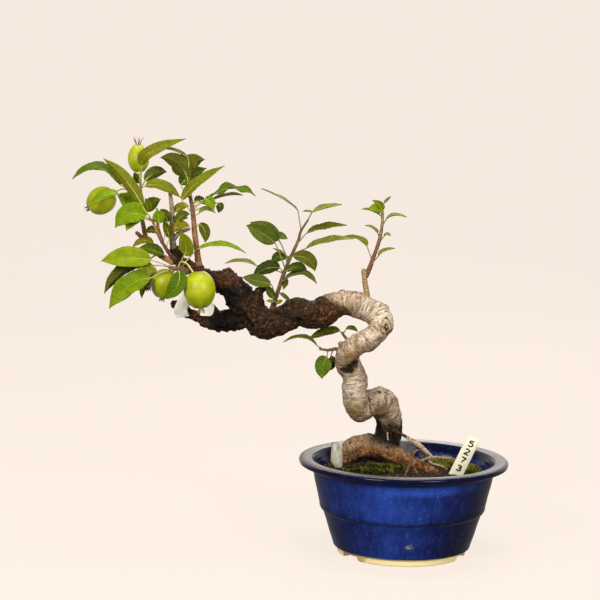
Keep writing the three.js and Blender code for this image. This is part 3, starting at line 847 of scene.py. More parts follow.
@dataclass(frozen=True)
class GrainFinish:
    """Crumbs and grit on the soil, each with its own shade."""

    dark: Colour = tint("120c07")
    tan: Colour = tint("7a6142")

    def material(self) -> Material:
        """Makes the material, which reads the crumbs' own shade value.

        Returns:
            The material.
        """
        make = Finish("soil_crumbs")
        speck = make.noise(0.8, 3)
        share = (make.kept("shade") ** 2.2) * 0.8 + (speck - 0.5) * 0.4
        colour = make.mix(share, self.dark, self.tan)
        return make.surface(colour, 0.9, make.bump(speck, 0.25), 0.15)


@dataclass(frozen=True)
class MossFinish:
    """Moss, dark at its foot and yellow-green at its tips; the near-black foot is partly its own colour and
    partly painted shade between the tufts.
    """

    name: str
    light: float
    root: Colour = tint("0d0a04")
    green: Colour = tint("2a300c")
    tip: Colour = tint("7c7c1e")

    def material(self) -> Material:
        """Makes the material, which reads the tufts' own shade and height values.

        Returns:
            The material.
        """
        make = Finish(self.name)
        own = make.kept("shade")
        height = make.kept("height")
        patch = (make.noise(12, 3) + self.light - 0.5) * 1.8
        # Painted shade in part: low points stay near the near-black root colour.
        colour = make.coats(
            self.root,
            ((height * 0.6 + (own - 0.5) * 0.7 + patch).ease(0.12, 0.85), self.green),
            ((height * own * 1.1 + patch).ease(0.4, 1.0), self.tip),
        )
        relief = make.bump(make.noise(0.7, 2), 0.2)
        return make.surface(colour, 0.8, relief, 0.08, {"Subsurface Weight": 0.1})


class BarkMaker(Finish):
    """The bark's material being made, with the patterns that its colours share."""

    def __init__(self) -> None:
        """Makes the patterns."""
        super().__init__("trunk_bark")
        grain = self.kept("grain", "Vector")
        self.rings = self.noise(3.4, 5, 0.72, 0.5, self.stretched(grain, (1.0, 0.28, 0.28)))
        self.lines = self.noise(1.6, 3, 0.6, 0.4, self.stretched(grain, (1.0, 0.16, 0.16)))
        self.broad = self.noise(15, 4, 0.6)
        self.mottle = self.noise(5, 5, 0.7)
        self.fine = self.noise(2.6, 4, 0.75)
        self.knobs = self.cells(4.2)
        self.blend = self.mottle * 0.55 + self.fine * 0.45 - 0.5
        self.high = self.fine.ease(0.52, 0.64)
        self.deep = self.fine.ease(0.48, 0.37)
        self.mid = self.mottle.ease(0.4, 0.6)

    def patch(self, name: str, start: float = 0.3, end: float = 0.85) -> Socket:
        """Where a stain shows, ragged at its edge."""
        return (self.kept(name) + self.blend * 2.6).ease(start, end)


@dataclass(frozen=True)
class BarkFinish:
    """The trunk's bark: pale and finely ringed below, dark and knobbly along the branch."""

    pale: Colour = tint("bfa78c")
    cream: Colour = tint("e4d6bf")
    ash: Colour = tint("8f775e")
    tan: Colour = tint("946a40")
    umber: Colour = tint("46311f")
    earth: Colour = tint("35200f")
    rust: Colour = tint("4a2610")
    glint: Colour = tint("ac8456")
    coal: Colour = tint("080504")
    knob_sheen: Colour = tint("16110e")
    algae: Colour = tint("7d6c34")
    amber: Colour = tint("6c3c12")
    orange: Colour = tint("c4803c")
    dust: Colour = tint("98794e")

    def trunk_colour(self, make: BarkMaker) -> Socket:
        """The pale, finely ringed bark of the trunk.

        Args:
            make: The bark's maker.

        Returns:
            The colour.
        """
        return make.coats(
            self.ash,
            ((make.mottle * 0.5 + make.broad * 0.5).ease(0.42, 0.56), self.pale),
            # Pale patches: partly real pale bark, partly a painted highlight.
            (make.patch("pale", 0.1, 0.9) * 0.8, self.cream),
            (make.high * 0.4, self.cream),
            (make.patch("tan", 0.3, 1.1) * 0.7, self.tan),
            (make.rings.ease(0.56, 0.43) * 0.6, self.ash),
            (make.deep * (0.5 + make.kept("tan") * 0.2), self.umber),
            (make.rings.ease(0.45, 0.37) * 0.8, self.umber),
            (make.lines.ease(0.46, 0.36) * 0.34, self.umber),
            (make.lines.ease(0.53, 0.64) * 0.42, self.cream),
        )

    def branch_colour(self, make: BarkMaker) -> Socket:
        """The dark, knobbly bark of the branch, reddish where it is rubbed.

        Args:
            make: The bark's maker.

        Returns:
            The colour.
        """
        ruddy = make.coats(
            self.earth,
            (make.mottle.ease(0.42, 0.6), self.rust),
            (make.deep * 0.9, self.coal),
            (make.high * 0.3, self.glint),
        )
        return make.coats(
            self.coal,
            ((make.mottle - make.knobs * 0.2).ease(0.26, 0.46), self.earth),
            # Pale specks on the branch: partly real specks, partly painted glints.
            (make.fine.ease(0.55, 0.65) * 0.55, self.dust),
            (make.patch("rust"), ruddy),
        )

    def root_colours(self, make: BarkMaker) -> tuple[Socket, Socket]:
        """The dusty bark at the edge of the surface root, and the amber bark on its back.

        Args:
            make: The bark's maker.

        Returns:
            The two colours.
        """
        dusty = make.coats(
            self.ash,
            (make.mid, self.dust),
            (make.deep * 0.9, self.umber),
            (make.high * 0.5, self.cream),
            (make.mottle.ease(0.47, 0.37) * 0.85, self.coal),
            (make.rings.ease(0.44, 0.36) * 0.8, self.coal),
        )
        sunlit = make.broad.ease(0.42, 0.58) * make.mottle.ease(0.42, 0.56)
        amber = make.coats(
            self.umber,
            (make.mid, self.amber),
            (sunlit * 0.6, self.orange),
            (make.deep * 0.9, self.coal),
            (make.high * 0.3, self.cream),
        )
        return dusty, amber

    def material(self) -> Material:
        """Makes the material, which reads the trunk's grain and its stain values.

        Returns:
            The material.
        """
        make = BarkMaker()
        worn = (make.kept("dark") + make.blend * 2.4).ease(0.2, 0.8)
        root = make.kept("root")
        dusty, amber = self.root_colours(make)
        # Painted highlight: the knob tops on the near-black bark are lighter.
        knobs = make.knobs.ease(0.5, 0.15) * 0.6
        soot = make.coats(self.coal, (knobs, self.knob_sheen), (make.high * 0.2, self.umber))
        colour = make.coats(
            self.trunk_colour(make),
            (worn, self.branch_colour(make)),
            (root.ease(0.15, 0.45), dusty),
            ((root + make.blend * 2.8).ease(0.4, 0.9), amber),
            (make.kept("far") * make.mottle.ease(0.66, 0.44) * 0.85, self.rust),
            (make.patch("algae") * 0.6, self.algae),
            # Soot-and-shade patches: partly dark bark and partly painted shade.
            (make.patch("soot") * 0.96, soot),
        )
        height = make.rings * (1 - worn) * 0.5 + make.mottle * (0.25 + worn * 0.25)
        height = height + make.fine * (0.3 + worn * 0.2) - make.knobs * worn * 0.45
        relief = make.bump(height + make.lines * (1 - worn) * 0.5, 2.4)
        return make.surface(colour, 0.85 - worn * 0.25, relief, 0.14)


@dataclass(frozen=True)
class TwigFinish:
    """Young wood and stalks, in the tone that each stem keeps."""

    name: str = "twig_bark"
    rough: float = 0.62
    shade: Colour = tint("1a100a")
    speck: Colour = tint("d8b98c")

    def material(self) -> Material:
        """Makes the material, which reads the tone and grain values.

        Returns:
            The material.
        """
        make = Finish(self.name)
        tone = make.kept("tone", "Color")
        along = make.stretched(make.kept("grain", "Vector"), (1.0, 0.3, 0.3))
        rings = make.noise(1.5, 3, 0.6, at=along)
        specks = make.cells(2.4).ease(0.26, 0.12)
        shade = make.mix(0.6, tone, self.shade)
        colour = make.coats(
            tone,
            (rings.ease(0.56, 0.4) * 0.6, shade),
            (make.noise(3.5, 3, 0.6).ease(0.5, 0.36) * 0.5, shade),
            (specks * 0.2, self.speck),
        )
        return make.surface(colour, self.rough, make.bump(rings + specks * 0.4, 0.35))


@dataclass(frozen=True)
class FoliageFinish:
    """Leaf blades: veins, a paler underside, and the tone that each leaf keeps."""

    vein: Colour = tint("98a21c")
    edge: Colour = tint("6f6a0c")
    under: Colour = tint("7d7c3c")
    shade: Colour = tint("1d2a02")

    def material(self) -> Material:
        """Makes the material, which reads the tone and the blade values.

        Returns:
            The material.
        """
        make = Finish("leaf_blade")
        tone = make.kept("tone", "Color")
        along, across, under = make.parts(make.kept("blade", "Vector"))
        margin = make.kept("margin")
        off = abs(across)
        line = (along - off * VEIN_SLANT) / VEIN_PITCH
        ridge = abs(line.fraction() * 2 - 1)
        side_vein = ridge.ease(0.8, 1.0) * off.ease(0.0, 0.6) * margin.ease(1.0, 0.75)
        midrib = off.ease(0.9, 0.15)
        net = make.cells(1.3, "DISTANCE_TO_EDGE").ease(0.12, 0.0)
        colour = make.coats(
            tone,
            (make.noise(9, 4, 0.6).ease(0.38, 0.62) * 0.5, make.mix(0.55, tone, self.shade)),
            (under * 0.14, self.under),
            (side_vein * 0.2 + midrib * 0.2, self.vein),
            (margin.ease(0.93, 1.0) * 0.35, self.edge),
            (net * 0.1, self.vein),
        )
        sunk = (side_vein * 0.5 + midrib * 0.8 + net * 0.15) * (under * 2 - 1)
        relief = make.bump(sunk + make.noise(0.8, 2) * 0.12 + ridge * 0.1, 0.45)
        return make.surface(colour, 0.45 + under * 0.2, relief, 0.1, flesh(0.08, (1.0, 1.0, 0.1), 0.6))


@dataclass(frozen=True)
class AppleFinish:
    """Glossy yellow-green apple skin with pale dots."""

    green: Colour = tint("8f9c00")
    yellow: Colour = tint("acb000")
    dark: Colour = tint("5f6a00")
    dot: Colour = tint("c8ca30")
    russet: Colour = tint("8f7a2a")

    def material(self) -> Material:
        """Makes the material, which reads the apple's own place values.

        Returns:
            The material.
        """
        make = Finish("apple_skin")
        polar = make.kept("polar", "Vector")
        height = make.parts(polar)[1]
        streak = make.noise(1.0, 3, 0.5, at=make.stretched(polar, (7.0, 0.7, 7.0)))
        dots = make.cells(2.6).ease(0.13, 0.06)
        share = make.noise(11, 3) * 0.8 + streak * 0.08 - height * 0.12 + 0.08
        colour = make.coats(
            self.green,
            (share.ease(0.3, 0.75), self.yellow),
            (height.ease(-0.55, -1.0) * 0.6, self.dark),
            (height.ease(0.86, 1.0) * 0.7, self.russet),
            (dots * 0.6, self.dot),
        )
        relief = make.bump(make.noise(0.9, 2) * 0.5 + dots, 0.05)
        return make.surface(colour, 0.42, relief, 0.35, flesh(0.1, (1.0, 0.8, 0.2), 2.0))


@dataclass(frozen=True)
class PlasticFinish:
    """A plastic tag or strip, with soil smeared at its foot."""

    name: str
    colour: Colour
    grime: float
    dirt: Colour = tint("5c5142")

    def material(self) -> Material:
        """Makes the material.

        Returns:
            The material.
        """
        make = Finish(self.name)
        smear = make.noise(6, 5, 0.65, at=make.stretched(make.place, (1.0, 1.0, 0.5)))
        fine = make.noise(0.8, 3)
        low = 0.72 - self.grime * 0.5
        colour = make.coats(
            self.colour,
            (smear.ease(low, low + 0.25) * 0.8, self.dirt),
            (fine.ease(0.62, 0.75) * self.grime, self.dirt),
        )
        inside = flesh(0.2, (1.0, 0.9, 0.8), 1.5)
        return make.surface(colour, 0.45 + smear * 0.2, make.bump(fine, 0.05), constants=inside)


@dataclass(frozen=True)
class PaperFinish:
    """The studio's pale paper, which glows a little so that it stays even."""

    colour: Colour = tint("f6e9df")
    share: float = 0.1
    glow: float = 0.95

    def material(self) -> Material:
        """Makes the material.

        Returns:
            The material.
        """
        make = Finish("studio_paper")
        base = (*[self.share * part for part in self.colour[:3]], 1.0)
        constants = {"Emission Color": self.colour, "Emission Strength": self.glow}
        return make.surface(base, 0.95, None, 0.0, constants)


@dataclass(frozen=True)
class InkFinish:
    """Dry dark ink with a fine grain."""

    name: str
    colour: Colour = tint("15130f")
    rough: float = 0.6
    grain: float = 2.0

    def material(self) -> Material:
        """Makes the material.

        Returns:
            The material.
        """
        make = Finish(self.name)
        shade = make.mix(0.08, self.colour, (0.0, 0.0, 0.0, 1.0))
        share = make.noise(self.grain, 2).ease(0.3, 0.7)
        return make.surface(make.mix(share, self.colour, shade), self.rough)


# Studio


@dataclass(frozen=True)
class Studio:
    """The plain floor with its curved backdrop, the lamps and the soft light round the tree."""

    air: Colour = (1.0, 0.95, 0.9, 1.0)
    air_strength: float = 0.22
    half_width: float = 6.0
    floor_start: float = -14.0
    floor_end: float = 0.35
    bend_start: float = 2.2
    bend_radius: float = 1.5
    height: float = 5.0

    def backdrop(self) -> None:
        """Makes the floor and the wall that it bends up into, of which gloss mirrors the wall."""
        turns = np.linspace(0, np.pi / 2, 24)
        bend = [
            (self.bend_start + math.sin(a) * self.bend_radius, self.bend_radius * (1 - math.cos(a)))
            for a in turns
        ]
        paper = PaperFinish().material()
        flat = [(self.floor_start, 0.0), (self.floor_end, 0.0)]
        wall = [flat[1], *bend, (bend[-1][0], self.height)]
        for name, line in (("floor", flat), ("wall", wall)):
            points = [(x, y, z) for y, z in line for x in (-self.half_width, self.half_width)]
            faces = [(2 * i, 2 * i + 1, 2 * i + 3, 2 * i + 2) for i in range(len(line) - 1)]
            sheet = mesh_piece(name, Skin(np.array(points) / MM, faces), [paper])
            sheet.visible_diffuse = False
            sheet.visible_glossy = name == "wall"

    def lamp(self, name: str, spot: Place, aim: float, size: float, power: float, colour: Place) -> None:
        """Hangs a square soft lamp.

        Args:
            name: The lamp's name.
            spot: Where it hangs, in metres.
            aim: The height on the trunk's line that it faces.
            size: Its width.
            power: Its power in watts.
            colour: The colour of its light.
        """
        data = bpy.data.lights.new(name, "AREA")
        data.size = size
        data.energy = power
        data.color = colour
        lamp = linked(name, data)
        lamp.location = spot
        lamp.rotation_mode = "QUATERNION"
        lamp.rotation_quaternion = (Vector((0, 0, aim)) - Vector(spot)).to_track_quat("-Z", "Y")

    def air_light(self) -> None:
        """Lights the scene evenly from all round."""
        world = bpy.data.worlds.new("studio_air")
        bpy.context.scene.world = world
        world.use_nodes = True
        background = world.node_tree.nodes["Background"]
        background.inputs["Color"].default_value = self.air
        background.inputs["Strength"].default_value = self.air_strength

    def build(self) -> None:
        """Makes the whole studio."""
        self.backdrop()
        self.air_light()
        self.lamp("left_lamp", (-1.25, -2.0, 1.3), 0.2, 0.8, 52, (1.0, 0.97, 0.92))
        self.lamp("right_lamp", (1.25, -2.0, 1.2), 0.22, 0.8, 44, (1.0, 0.97, 0.93))
        self.lamp("top_lamp", (0.1, -0.1, 2.4), 0.2, 1.2, 34, (1.0, 0.98, 0.95))
        self.lamp("back_lamp", (0.5, 2.2, 1.3), 0.25, 0.9, 12, (1.0, 0.97, 0.93))


# Pot, soil and moss


@dataclass
class Pot:
    """One turned stoneware wall with a rolled lip, a step, a drain hole and a notched foot."""

    axis_x: float = 130.0
    sides: int = 228
    longest: float = 3.2
    notch_angles: tuple[float, ...] = (-145.0, -25.0, 95.0)
    notch_half_width: float = 13.0
    notch_height: float = 5.5
    inner_foot: float = 58.0
    glaze_edge: float = 8.6
    step_height: float = 51.5
    largest_radius: float = 120.0
    wall_heights: tuple[float, ...] = (0, 12, 50, 100)
    wall_radii: tuple[float, ...] = (56, 68, 88, 100)
    corners: tuple[tuple[float, float, float], ...] = (
        (73, 0, 1.5), (75, 8, 1), (78.2, 8.6, 1), (90.9, 48.8, 1.5), (94.4, 51.8, 1.8),
        (95.6, 60, 6), (103, 91.5, 5), (104, 96.5, 2.5), (107.5, 99.8, 3), (115, 101, 3),
        (119.2, 103, 1.8), (120, 105.8, 1.6), (118.4, 108.8, 2), (114.5, 110, 3), (108, 109, 3),
        (104, 108, 2.5), (101.5, 103, 3), (97, 92, 4), (83.5, 50, 10), (70, 17, 8), (60, 13, 1),
        (14, 12, 1.5), (14, 6, 1), (59, 6, 1.5), (65, 0, 1.5),
    )
    chip_spot: Place = (409, 547, -82)
    chip_reach: float = 4.2
    dirt_spot: Place = (344, 552, -52)
    dirt_reach: float = 26.0
    wall_stain: Place = (407, 446, 97)

    def notch(self, points: Array) -> Array:
        """Raises the foot ring's underside at the notches that part it into feet.

        Args:
            points: Points on the skin, in mm.

        Returns:
            The moved points.
        """
        offset = points[:, :2] - [self.axis_x, 0]
        lift = np.zeros(len(points))
        for degrees in self.notch_angles:
            angle = math.radians(degrees)
            ahead = offset @ [math.cos(angle), math.sin(angle)]
            aside = np.abs(offset @ [-math.sin(angle), math.cos(angle)])
            inside = ease(aside, self.notch_half_width + 1.5, self.notch_half_width - 1.0)
            lift = np.maximum(lift, inside * (ahead > 0) * self.notch_height)
        raised = points.copy()
        ring = np.hypot(*offset.T) > self.inner_foot
        raised[:, 2] = np.where(ring, np.maximum(points[:, 2], lift), points[:, 2])
        return raised

    def thrown(self, points: Array) -> Array:
        """Makes the wall a little uneven, as a hand-thrown one is.

        Args:
            points: Points on the skin, in mm.

        Returns:
            The moved points.
        """
        offset = points[:, :2] - [self.axis_x, 0]
        radius = np.hypot(*offset.T)
        wobble = 0.45 * grit(points, 60, 2, 3.0) + 0.12 * np.sin(points[:, 2] * 1.9)
        wobble *= ease(points[:, 2], 6, 14)
        reach = np.minimum(radius + wobble, self.largest_radius)
        moved = points.copy()
        moved[:, :2] = [self.axis_x, 0] + offset * (reach / np.maximum(radius, 1e-6))[:, None]
        return moved

    def values(self, points: Array) -> dict[str, Array]:
        """Works out the glaze's values at the points of the turned wall.

        Args:
            points: The points, in mm.

        Returns:
            How bare, worn (partly a painted reflection), shaded (painted shade), chipped and dirty the
            glaze is at each.
        """
        radius = np.hypot(points[:, 0] - self.axis_x, points[:, 1])
        height = points[:, 2]
        turned = (points[:, 0] - self.axis_x) / np.maximum(radius, 1e-6)
        behind = ease(points[:, 1] / np.maximum(radius, 1e-6), 0.2, 0.8)
        outside = radius > np.interp(height, self.wall_heights, self.wall_radii)
        foot = ease(height, self.glaze_edge + 0.9, self.glaze_edge - 0.3)
        floor = (radius < 72) & (height < 14)
        ragged = 0.25 * grit(points, 14, 2, 8.0) * (foot > 0)
        # The lip's pale top and rolled inner edge are partly glaze break and partly a painted reflection,
        # paler at the left and right ends and less at the back.
        top = ease(height, 107.2, 109) * (radius > 103)
        worn = top * (0.62 + 0.38 * ease(np.abs(turned), 0.3, 1.0)) * (1 - 0.3 * behind)
        roll = 0.6 * ease(height, 97, 106) * (radius < 105) * ~outside
        stain = 0.66 * ease(lengths(points - FRONT.place(self.wall_stain)), 20, 7)
        values = {
            "bare": np.clip(np.maximum(foot, floor) + ragged, 0, 1),
            "edge": np.maximum(np.maximum(worn, roll), stain),
            "shade": self.shade(height, turned, outside),
        }
        for key, spot, reach in (("chip", self.chip_spot, self.chip_reach),
                                 ("dirt", self.dirt_spot, self.dirt_reach)):
            offset = (points - FRONT.place(spot)) * [0.7, 1.0, 1.3]
            values[key] = ease(lengths(offset), reach * 1.4, reach * 0.3)
        return values

    def shade(self, height: Array, turned: Array, outside: Array) -> Array:
        """How deep the blue is, which is painted light and shade: a painted highlight makes it palest on
        the front's upper half, painted shade darkens it towards the sides, low down, in the step's groove
        and down the inner wall, and darkest under the lip.

        Args:
            height: Each point's height, in mm.
            turned: How far each faces right, from -1 to 1.
            outside: Whether each is on the outer side.

        Returns:
            The shade of each, from 0 to 1.
        """
        # Painted shade at the sides and low down, a painted highlight (lit) on the upper front, and painted
        # shade down the inner wall, in the step's groove and under the lip.
        side = np.abs(turned + 0.2)
        lit = np.exp(-(((turned - 0.25) / 0.45) ** 2)) * ease(height, 84, 90)
        around = 0.52 * side + 0.13 * ease(height, 66, 48) - 0.46 * lit
        shade = 0.34 + np.where(outside, around, 0.17 + 0.25 * ease(height, 103, 95))
        groove = np.exp(-(((height - self.step_height) / 1.6) ** 2)) * outside
        return np.clip(shade + 1.2 * ease(height, 96, 100) * outside + 0.16 * groove, 0, 1)

    def build(self) -> None:
        """Makes the pot."""
        skin = spun(rounded(self.corners, self.longest), (self.axis_x, 0), self.sides)
        skin.values = self.values(skin.points)
        skin.points = self.thrown(self.notch(skin.points))
        seat(mesh_piece("glazed_pot", skin, [GlazeFinish().material()]), "pot")


@dataclass
class Ground:
    """The soil's shape: a mound that fills the pot, uneven on top."""

    axis_x: float = 130.0
    edge_radius: float = 96.0
    edge_z: float = 92.0
    mound: float = 9.0

    def height(self, x: Array, y: Array) -> Array:
        """The soil's height at a place, in mm.

        Args:
            x: How far right it is, in mm.
            y: How far back it is, in mm.

        Returns:
            The height.
        """
        radius = np.hypot(x - self.axis_x, y)
        hill = self.mound * (1 - (radius / self.edge_radius) ** 2)
        uneven = np.sin(x / 7 + y / 11) * np.cos(y / 8 - x / 13)
        return self.edge_z + hill + 0.7 * uneven


class Growth(Enum):
    """What covers a surface: its name, and how many grow on a square millimetre."""

    CRUMBS = ("crumbs", 0.12)
    TUFTS = ("tufts", 1.05)


@dataclass
class Cover:
    """A node tree that strews a small shape over the upper side of a piece."""

    growth: Growth
    shape: Piece
    finish: Material
    smallest: float
    largest: float
    lean: float
    seed: int

    steepest = 0.35
    inputs = {
        "Surface": "Geometry", "Shape": "Object", "Density": "Float", "Smallest": "Float",
        "Largest": "Float", "Lean": "Float", "Finish": "Material", "Seed": "Int",
    }

    def tree(self) -> tuple[bpy.types.NodeTree, dict[str, str]]:
        """Builds the node tree.

        Returns:
            The tree, and the identifier of each named input.
        """
        tree = bpy.data.node_groups.new(f"strewn_{self.growth.value[0]}", "GeometryNodeTree")
        ids = {}
        for name, kind in self.inputs.items():
            made = tree.interface.new_socket(name, in_out="INPUT", socket_type=f"NodeSocket{kind}")
            ids[name] = made.identifier
        tree.interface.new_socket("Covered", in_out="OUTPUT", socket_type="NodeSocketGeometry")
        graph = Graph(tree)
        source = tree.nodes.new("NodeGroupInput")
        given = {name: Socket(graph, source.outputs[name]) for name in self.inputs}
        surface = given["Surface"]
        spread = self.spread(graph, given)
        span = {2: given["Smallest"], 3: given["Largest"], "Seed": given["Seed"]}
        size = graph.node("FunctionNodeRandomValue", {"data_type": "FLOAT"}, span, 1)
        shape = graph.node("GeometryNodeObjectInfo", None, {"Object": given["Shape"]}, "Geometry")
        aimed = self.aimed(graph, spread, given["Lean"])
        placing = {"Points": spread, "Instance": shape, "Rotation": aimed, "Scale": size}
        placed = graph.node("GeometryNodeInstanceOnPoints", None, placing)
        whole = {2: 0.0, 3: 1.0, "Seed": 9}
        own = graph.node("FunctionNodeRandomValue", {"data_type": "FLOAT"}, whole, 1)
        keeping = {"data_type": "FLOAT", "domain": "INSTANCE"}
        shade = {"Geometry": placed, "Name": "shade", "Value": own}
        shaded = graph.node("GeometryNodeStoreNamedAttribute", keeping, shade)
        real = graph.node("GeometryNodeRealizeInstances", None, {0: shaded})
        painting = {"Geometry": real, "Material": given["Finish"]}
        both = graph.node("GeometryNodeJoinGeometry", None, {0: surface})
        graph.feed(both.link.node.inputs[0], graph.node("GeometryNodeSetMaterial", None, painting))
        graph.node("NodeGroupOutput", None, {0: both})
        return tree, ids

    def spread(self, graph: Graph, given: dict[str, Socket]) -> Socket:
        """Spreads points over the faces that look up.

        Args:
            graph: The node tree.
            given: Its named inputs.

        Returns:
            The points.
        """
        normal = graph.node("GeometryNodeInputNormal")
        upper = graph.node("ShaderNodeSeparateXYZ", None, {0: normal}, 2)
        above = {0: upper, 1: self.steepest}
        facing_up = graph.node("FunctionNodeCompare", {"operation": "GREATER_THAN"}, above)
        where = {"Mesh": given["Surface"], "Selection": facing_up}
        where |= {"Density": given["Density"], "Seed": given["Seed"]}
        method = {"distribute_method": "RANDOM"}
        return graph.node("GeometryNodeDistributePointsOnFaces", method, where)

    def aimed(self, graph: Graph, spread: Socket, lean: Socket) -> Socket:
        """Turns each shape at random about its point's normal, and leans it.

        Args:
            graph: The node tree.
            spread: The points.
            lean: The most that a shape leans, in radians.

        Returns:
            The rotation of each shape.
        """
        upright = Socket(graph, spread.link.node.outputs["Rotation"])
        most = graph.vectors("ADD", graph.scaled((1.0, 1.0, 0.0), lean), (0.0, 0.0, math.pi))
        span = {0: graph.scaled(most, -1.0), 1: most, "Seed": 5}
        turn = graph.node("FunctionNodeRandomValue", {"data_type": "FLOAT_VECTOR"}, span)
        turn = graph.node("FunctionNodeEulerToRotation", None, {0: turn})
        settings = {"rotation_space": "LOCAL"}
        return graph.node("FunctionNodeRotateRotation", settings, {0: upright, 1: turn})

    def strew(self, piece: Piece) -> None:
        """Covers a piece and makes the result its mesh.

        Args:
            piece: The piece.
        """
        tree, ids = self.tree()
        modifier = piece.modifiers.new("cover", "NODES")
        modifier.node_group = tree
        values = {
            "Shape": self.shape, "Density": self.growth.value[1] / MM**2, "Smallest": self.smallest,
            "Largest": self.largest, "Lean": self.lean, "Finish": self.finish, "Seed": self.seed,
        }
        for name, value in values.items():
            modifier[ids[name]] = value
        settled(piece)


def away(piece: Piece) -> None:
    """Removes a shape that only served as a pattern.

    Args:
        piece: The shape.
    """
    mesh = piece.data
    bpy.data.objects.remove(piece)
    bpy.data.meshes.remove(mesh)


@dataclass
class Soil:
    """The soil that fills the pot, with crumbs and grit strewn on it."""

    ground: Ground
    sides: int = 176
    rings: int = 60
    wall: tuple[tuple[float, float], ...] = ((95.5, 92.0), (83.0, 50.0), (69.6, 17.0), (59.0, 13.6))
    hole: float = 0.05
    unset: float = 200.0

    def crumb(self) -> Piece:
        """Makes one angular crumb, about 1 mm across.

        Returns:
            The crumb, as a pattern.
        """
        golden = (1 + math.sqrt(5)) / 2
        order = [
            (0, 11, 5), (0, 5, 1), (0, 1, 7), (0, 7, 10), (0, 10, 11), (1, 5, 9), (5, 11, 4),
            (11, 10, 2), (10, 7, 6), (7, 1, 8), (3, 9, 4), (3, 4, 2), (3, 2, 6), (3, 6, 8), (3, 8, 9),
            (4, 9, 5), (2, 4, 11), (6, 2, 10), (8, 6, 7), (9, 8, 1),
        ]
        face = [(-1, golden, 0), (1, golden, 0), (-1, -golden, 0), (1, -golden, 0)]
        turned = [(z, x, y) for x, y, z in face], [(y, z, x) for x, y, z in face]
        corners = np.array([*face, *turned[0], *turned[1]])
        points = corners * (0.26 * (1 + 0.35 * grit(corners, 1.3, 1, 4.0)))[:, None]
        return mesh_piece("crumb", Skin(points * [1.0, 0.8, 0.7], order).outward(), [])

    def build(self) -> None:
        """Makes the soil."""
        radii = np.linspace(self.wall[0][0], self.hole, self.rings)
        top = np.stack([radii, np.full(len(radii), self.unset)], 1)
        low = [(self.hole, 13.6), *reversed(self.wall[1:])]
        profile = np.vstack([low, top])
        skin = spun(profile, (self.ground.axis_x, 0), self.sides)
        crown = skin.points[:, 2] == self.unset
        x, y = skin.points[:, 0], skin.points[:, 1]
        level = self.ground.height(x, y)
        flat = np.stack([x, y, np.zeros(len(x))], 1)
        lumps = 0.7 * grit(flat, 9, 3, 2.0) + 0.35 * grit(flat, 2.6, 2, 7.0)
        skin.points[:, 2] = np.where(crown, level + lumps, skin.points[:, 2])
        piece = mesh_piece("potting_soil", skin, [EarthFinish().material()])
        crumb = self.crumb()
        cover = Cover(Growth.CRUMBS, crumb, GrainFinish().material(), 1.0, 3.2, 1.5, 11)
        cover.strew(piece)
        away(crumb)
        seat(piece, "soil")


@dataclass(frozen=True)
class Cushion:
    """One low cushion of moss: its node, its middle, its half widths and its height, in mm."""

    node: str
    centre: tuple[float, float]
    radii: tuple[float, float]
    height: float
    light: float


